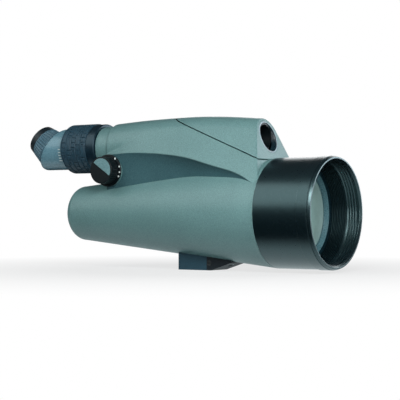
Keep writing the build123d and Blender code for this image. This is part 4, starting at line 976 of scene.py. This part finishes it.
def ribbed(count, depth, start, end, fade=1.0, sharpness=1.0):
    """Lengthwise ribs: the radius dips count times round, between two distances."""
    def relief(s, angle):
        wave = (0.5 + 0.5 * np.cos(angle * count)) ** sharpness
        where = step_up(s, start, start + fade) * (1 - step_up(s, end - fade, end))
        return -depth * (1 - wave) * where
    return relief


def cup_radius(s):
    """Outer radius of the tapering eyepiece at a distance along its axis."""
    return CUP_R + (CUP_END_R - CUP_R) * s / CUP_LENGTH


def make_eyepiece():
    """Ribbed dioptre ring and the soft cup beyond it."""
    ring = rounded([(0.35, 19.1, 0), (0.35, cup_radius(0.35), 0.8), (17.8, cup_radius(17.8), 0.25),
                    (17.8, 16.4, 0), (15.4, 16.4, 0), (15.4, 19.1, 0)])
    at = int(np.argmax(ring[:, 0] > 10))
    s = np.linspace(2.0, 16.8, 34)
    ring = np.concatenate([ring[:at], np.stack([s, cup_radius(s)], 1), ring[at:]])
    ribs = ribbed(36, 1.0, 1.6, 17.0, 0.8, 0.7)
    make_piece("dioptre_grip", "dioptre_control", [lathe(ring, EYE_AT, EYE_DIR, 432, ribs)],
               CUP, ["dioptre_ring"], sharp=50.0)
    end = 27.5
    cup = rounded([(18.0, 16.4, 0), (18.0, cup_radius(18.0), 0.3), (end - 1.0, 18.5, 1.6), (end, 17.0, 0.8),
                   (end - 0.4, 15.3, 0.6), (end - 2.2, 14.6, 0.6), (20.0, 16.3, 0)])
    make_piece("soft_cup", "dioptre_control",
               [lathe(cup, EYE_AT, EYE_DIR, 160, ribbed(40, 0.35, 18.6, 23.0, 0.6))],
               CUP_END, ["eyecup"], sharp=50.0)


# ---- knobs, foot and marks ----------------------------------------------------------------
def make_knobs():
    """Selector knob with a fluted side, and the focusing knob opposite, with a shallow dish in its face."""
    height = KNOB_HIGH[1] - KNOB_LOW[1]
    face = np.stack([np.zeros(6), np.linspace(3, KNOB_R - 1.6, 6)], 1)
    corner = rounded([(0.0, KNOB_R - 1.6), (0.0, KNOB_R, 0.9), (1.4, KNOB_R)])[1:-1]
    side = np.stack([np.linspace(1.6, height - 1.2, 24), np.full(24, KNOB_R)], 1)
    base = [[height - 0.8, KNOB_R - 0.1], [height - 0.3, KNOB_R - 0.5], [height, KNOB_R - 1.2],
            [height, 0.0]]
    shape = np.concatenate([[[0.0, 0.0]], face, corner, side, base])
    ribs = ribbed(36, 0.7, 1.0, height - 1.4, 0.8, 0.6)
    make_piece("selector_grip", "selector",
               [lathe(shape, (KNOB_AT[0], KNOB_LOW[1], KNOB_AT[2]), LEFT, 360, ribs, closed=False)],
               KNOB, ["selector_knob"], sharp=50.0)
    height = FOCUS_HIGH[1] - FOCUS_LOW[1]
    r = (FOCUS_HIGH[0] - FOCUS_LOW[0]) / 2
    base = [[0.0, 0.0], [0.0, r - 1.4], [0.4, r - 0.5], [1.0, r]]
    side = np.stack([np.linspace(1.6, height - 1.6, 24), np.full(24, r)], 1)
    face = [[height - 0.9, r - 0.1], [height - 0.35, r - 0.4], [height, r - 1.2], [height, r * 0.6],
            [height - 0.6, r * 0.55], [height - 0.6, 0.0]]
    ribs = ribbed(32, 0.7, 1.0, height - 1.4, 0.8, 0.6)
    make_piece("focus_grip", "focus_control",
               [lathe(np.concatenate([base, side, face]), (FOCUS_AT[0], FOCUS_LOW[1], FOCUS_AT[2]), LEFT, 320,
                      ribs, closed=False)], KNOB, ["focus_knob"], sharp=50.0)


def make_half_moon():
    """Pale plate on the knob's face: the disc's part above a slanting chord, its rim bevelled. Rows run
    from the plate's middle out to its edge along straight lines."""
    tilt, offset, radius = math.radians(34.0), 1.6, KNOB_R - 1.9
    reach = math.acos(offset / radius)
    arc = np.linspace(-reach, reach, 60)
    chord = np.linspace(1, -1, 24)[1:-1] * radius * math.sin(reach)
    rim = np.concatenate([np.stack([radius * np.sin(arc), radius * np.cos(arc)], 1),
                          np.stack([chord, np.full_like(chord, offset)], 1)])
    middle = np.array([0.0, (offset + radius) / 2])
    y = KNOB_LOW[1]
    rows = []
    profile = ((0.0, 0.3), (0.4, 0.3), (0.8, 0.3), (0.955, 0.3), (0.985, 0.24), (1.0, 0.1),
               (1.0, -0.3), (0.5, -0.3), (0.0, -0.3))
    for share, rise in profile:
        flat = middle + (rim - middle) * share
        x = KNOB_AT[0] + flat[:, 0] * math.cos(tilt) + flat[:, 1] * math.sin(tilt)
        z = KNOB_AT[2] - flat[:, 0] * math.sin(tilt) + flat[:, 1] * math.cos(tilt)
        rows.append(np.stack([x, np.full_like(x, y - rise), z], 1))
    make_piece("half_moon", "selector", [sheet(np.stack(rows), False, True)],
               PALE, ["selector_inlay"])


def strip(low, high, lift, thick=0.12):
    """Thin raised mark between two lines of points, pushed out along lift, with its ends closed."""
    lift = np.asarray(lift, float) * thick
    return sheet(capped(np.stack([low - lift, low + lift, high + lift, high - lift])), True, False)


def capped(rows):
    """Closes the two ends of a looped strip: each end row falls to its own middle."""
    start = np.broadcast_to(rows[:, :1].mean(axis=0, keepdims=True), rows[:, :1].shape)
    end = np.broadcast_to(rows[:, -1:].mean(axis=0, keepdims=True), rows[:, -1:].shape)
    return np.concatenate([start, rows, end], 1)


def make_scale():
    """Index ring under the selector knob, with white marks, and the ticks on the eyepiece elbow."""
    low_y, high_y = SCALE_LOW[1], SCALE_HIGH[1]
    radius, bore = (SCALE_HIGH[0] - SCALE_LOW[0]) / 2, 9.9
    seat = np.array([KNOB_AT[0], low_y, KNOB_AT[2]])
    depth = high_y - low_y
    ring = rounded([(0.0, bore, 0), (0.0, radius, 0.5), (depth, radius, 0), (depth, bore, 0)])
    make_piece("index_ring", "scope_body", [lathe(ring, seat, LEFT)], KNOB, ["selector_scale"])
    sheets = []
    for degrees_up in (52.0, 14.0, -7.0, -24.0):
        a = math.radians(degrees_up)
        out, side = np.array([math.cos(a), 0, math.sin(a)]), np.array([-math.sin(a), 0, math.cos(a)])
        middle = seat + np.linspace(KNOB_R + 0.5, radius - 0.5, 6)[:, None] * out
        sheets.append(strip(middle - side * 0.85, middle + side * 0.85, (0, -1.0, 0)))
    make_piece("index_marks", "scope_body", sheets, MARKS, ())
    sheets = []
    for k in range(5):
        a = math.radians(180.0 + 2.3 + 8.2 * k)
        out, side = np.array([0, math.cos(a), math.sin(a)]), np.array([0, -math.sin(a), math.cos(a)])
        x = np.linspace(HEAD_X - 1.0, HEAD_X - (5.6 if k == 4 else 4.6), 6)[:, None]
        middle = np.array([0, 0, EYE_Z]) + out * HEAD_R + x * FORWARD
        sheets.append(strip(middle - side * 0.5, middle + side * 0.5, out))
    make_piece("elbow_ticks", "scope_body", sheets, MARKS, ())


def make_foot():
    """Black round disc on the foot's side, painted shade standing for a hole. The foot itself, with its socket and
    screws, stays as it is.
    """
    half = (FOOT_HIGH[1] - FOOT_LOW[1]) / 2
    outline = np.array([(0.05, 0.0), (0.05, 2.4), (0.25, 2.7), (0.2, 3.1), (-0.8, 3.2), (-0.8, 0.0)])
    # painted shade: a black disc where the hole's shade would be
    dimple = lathe(outline, (FOOT_SHADE_X + 3.4, -half, 8.3), (0, -1.0, 0), 48, closed=False)
    make_piece("foot_hole_painted_shade", "scope_body", [dimple], INSIDE, ())


# ---- room, lights and camera --------------------------------------------------------------
def plain(tree, kind, colour, strength=None):
    """Shader of one colour, and its strength where it has one."""
    node = tree.nodes.new(kind)
    node.inputs["Color"].default_value = colour
    if strength is not None:
        wire(tree, strength, node.inputs["Strength"])
    return node.outputs[0]


def floor_finish():
    """Plain diffuse that keeps the shadow, lifted to white for what looks at it directly. What mirrors
    it sees a white board along the object and dark floor beyond."""
    material = bpy.data.materials.new("floor_white")
    material.use_nodes = True
    tree = material.node_tree
    tree.nodes.clear()
    out = tree.nodes.new("ShaderNodeOutputMaterial")
    path = tree.nodes.new("ShaderNodeLightPath")
    place = tree.nodes.new("ShaderNodeTexCoord").outputs["Object"]
    lifted = stretched(tree, length_of(tree, place), 0.15, 0.5, 0.72, 1.0)
    seen = sums(tree, "MULTIPLY", path.outputs["Is Camera Ray"], lifted)
    diffuse = plain(tree, "ShaderNodeBsdfDiffuse", (0.45, 0.46, 0.47, 1))
    direct = blended(tree, seen, diffuse, plain(tree, "ShaderNodeEmission", (1, 1, 1, 1), 1.0))
    across = sums(tree, "ABSOLUTE", apart(tree, place)["Y"])
    under = stretched(tree, across, 0.05, 0.085, 0.8, 0.0)
    board = plain(tree, "ShaderNodeEmission", (0.85, 0.97, 1.0, 1), under)
    tree.links.new(blended(tree, path.outputs["Is Glossy Ray"], direct, board), out.inputs["Surface"])
    return material


def make_floor():
    """Pale square floor."""
    edge = 6.0
    mesh = bpy.data.meshes.new("floor")
    corners = [(-edge, -edge, 0), (edge, -edge, 0), (edge, edge, 0), (-edge, edge, 0)]
    mesh.from_pydata(corners, [], [(0, 1, 2, 3)])
    floor = placed("floor", mesh)
    mesh.materials.append(floor_finish())


def make_world(level, mirrored_level):
    """White backdrop seen directly, dim walls for what mirrors them, soft light of a level otherwise."""
    world = bpy.data.worlds.new("soft_room")
    world.use_nodes = True
    tree = world.node_tree
    tree.nodes.clear()
    out = tree.nodes.new("ShaderNodeOutputWorld")
    path = tree.nodes.new("ShaderNodeLightPath")
    soft = plain(tree, "ShaderNodeBackground", (0.93, 0.98, 1.0, 1), level)
    dim = plain(tree, "ShaderNodeBackground", (0.85, 0.96, 1.0, 1), mirrored_level)
    backdrop = plain(tree, "ShaderNodeBackground", (1, 1, 1, 1), 1.0)
    room = blended(tree, path.outputs["Is Glossy Ray"], soft, dim)
    tree.links.new(blended(tree, path.outputs["Is Camera Ray"], room, backdrop), out.inputs["Surface"])
    bpy.context.scene.world = world


def make_lamp(name, place, target, size, power, colour):
    """Rectangular soft lamp that faces a point."""
    lamp = bpy.data.lights.new(name, "AREA")
    lamp.shape = "RECTANGLE"
    lamp.size, lamp.size_y = size
    lamp.energy = power
    lamp.color = colour
    holder = placed(name, lamp)
    holder.location = place
    aim = Vector(target) - Vector(place)
    holder.rotation_euler = aim.to_track_quat("-Z", "Y").to_euler()


def make_camera():
    """Long lens at the height of the objective's axis, ahead of the scope on its right."""
    data = bpy.data.cameras.new("camera")
    data.sensor_width = 36.0
    data.lens = 117.0
    data.shift_y = 0.0328
    data.clip_start, data.clip_end = 0.05, 50.0
    camera = placed("camera", data)
    camera.location = (0.815382, -1.240953, 0.0645)
    camera.rotation_euler = (math.radians(90), 0, math.radians(33.686))
    bpy.context.scene.camera = camera


# Metres and watts: name, place, point faced, size, power, colour
LAMPS = (("key", (-0.85, -1.25, 1.05), (0, 0, 0.1), (2.0, 1.3), 13.5, (0.92, 1.0, 1.0)),
         ("side", (0.45, -0.5, 0.42), (0.08, 0, 0.12), (0.4, 0.25), 4.4, (1.0, 1.0, 1.0)),
         ("front", (0.9, 1.2, 0.45), (0.12, 0, 0.1), (0.8, 0.85), 8.0, (0.82, 0.92, 1.0)),
         ("back", (-0.3, 1.7, 0.6), (0, 0, 0.1), (1.8, 1.0), 11.0, (1.0, 1.0, 1.0)),
         ("ripple", (1.35, -0.8, 0.12), (0.15, 0, 0.07), (0.5, 0.35), 4.0, (1.0, 1.0, 1.0)))


make_camera()
for make in (make_barrel, make_hood, make_objective, make_casing, make_cover, make_small_bore, make_pads,
             make_neck, make_zoom, make_head, make_eyepiece, make_knobs, make_half_moon, make_scale,
             make_foot, make_floor):
    make()
make_world(0.1, 0.05)
for lamp in LAMPS:
    make_lamp(*lamp)
bpy.context.scene.view_settings.view_transform = "Standard"
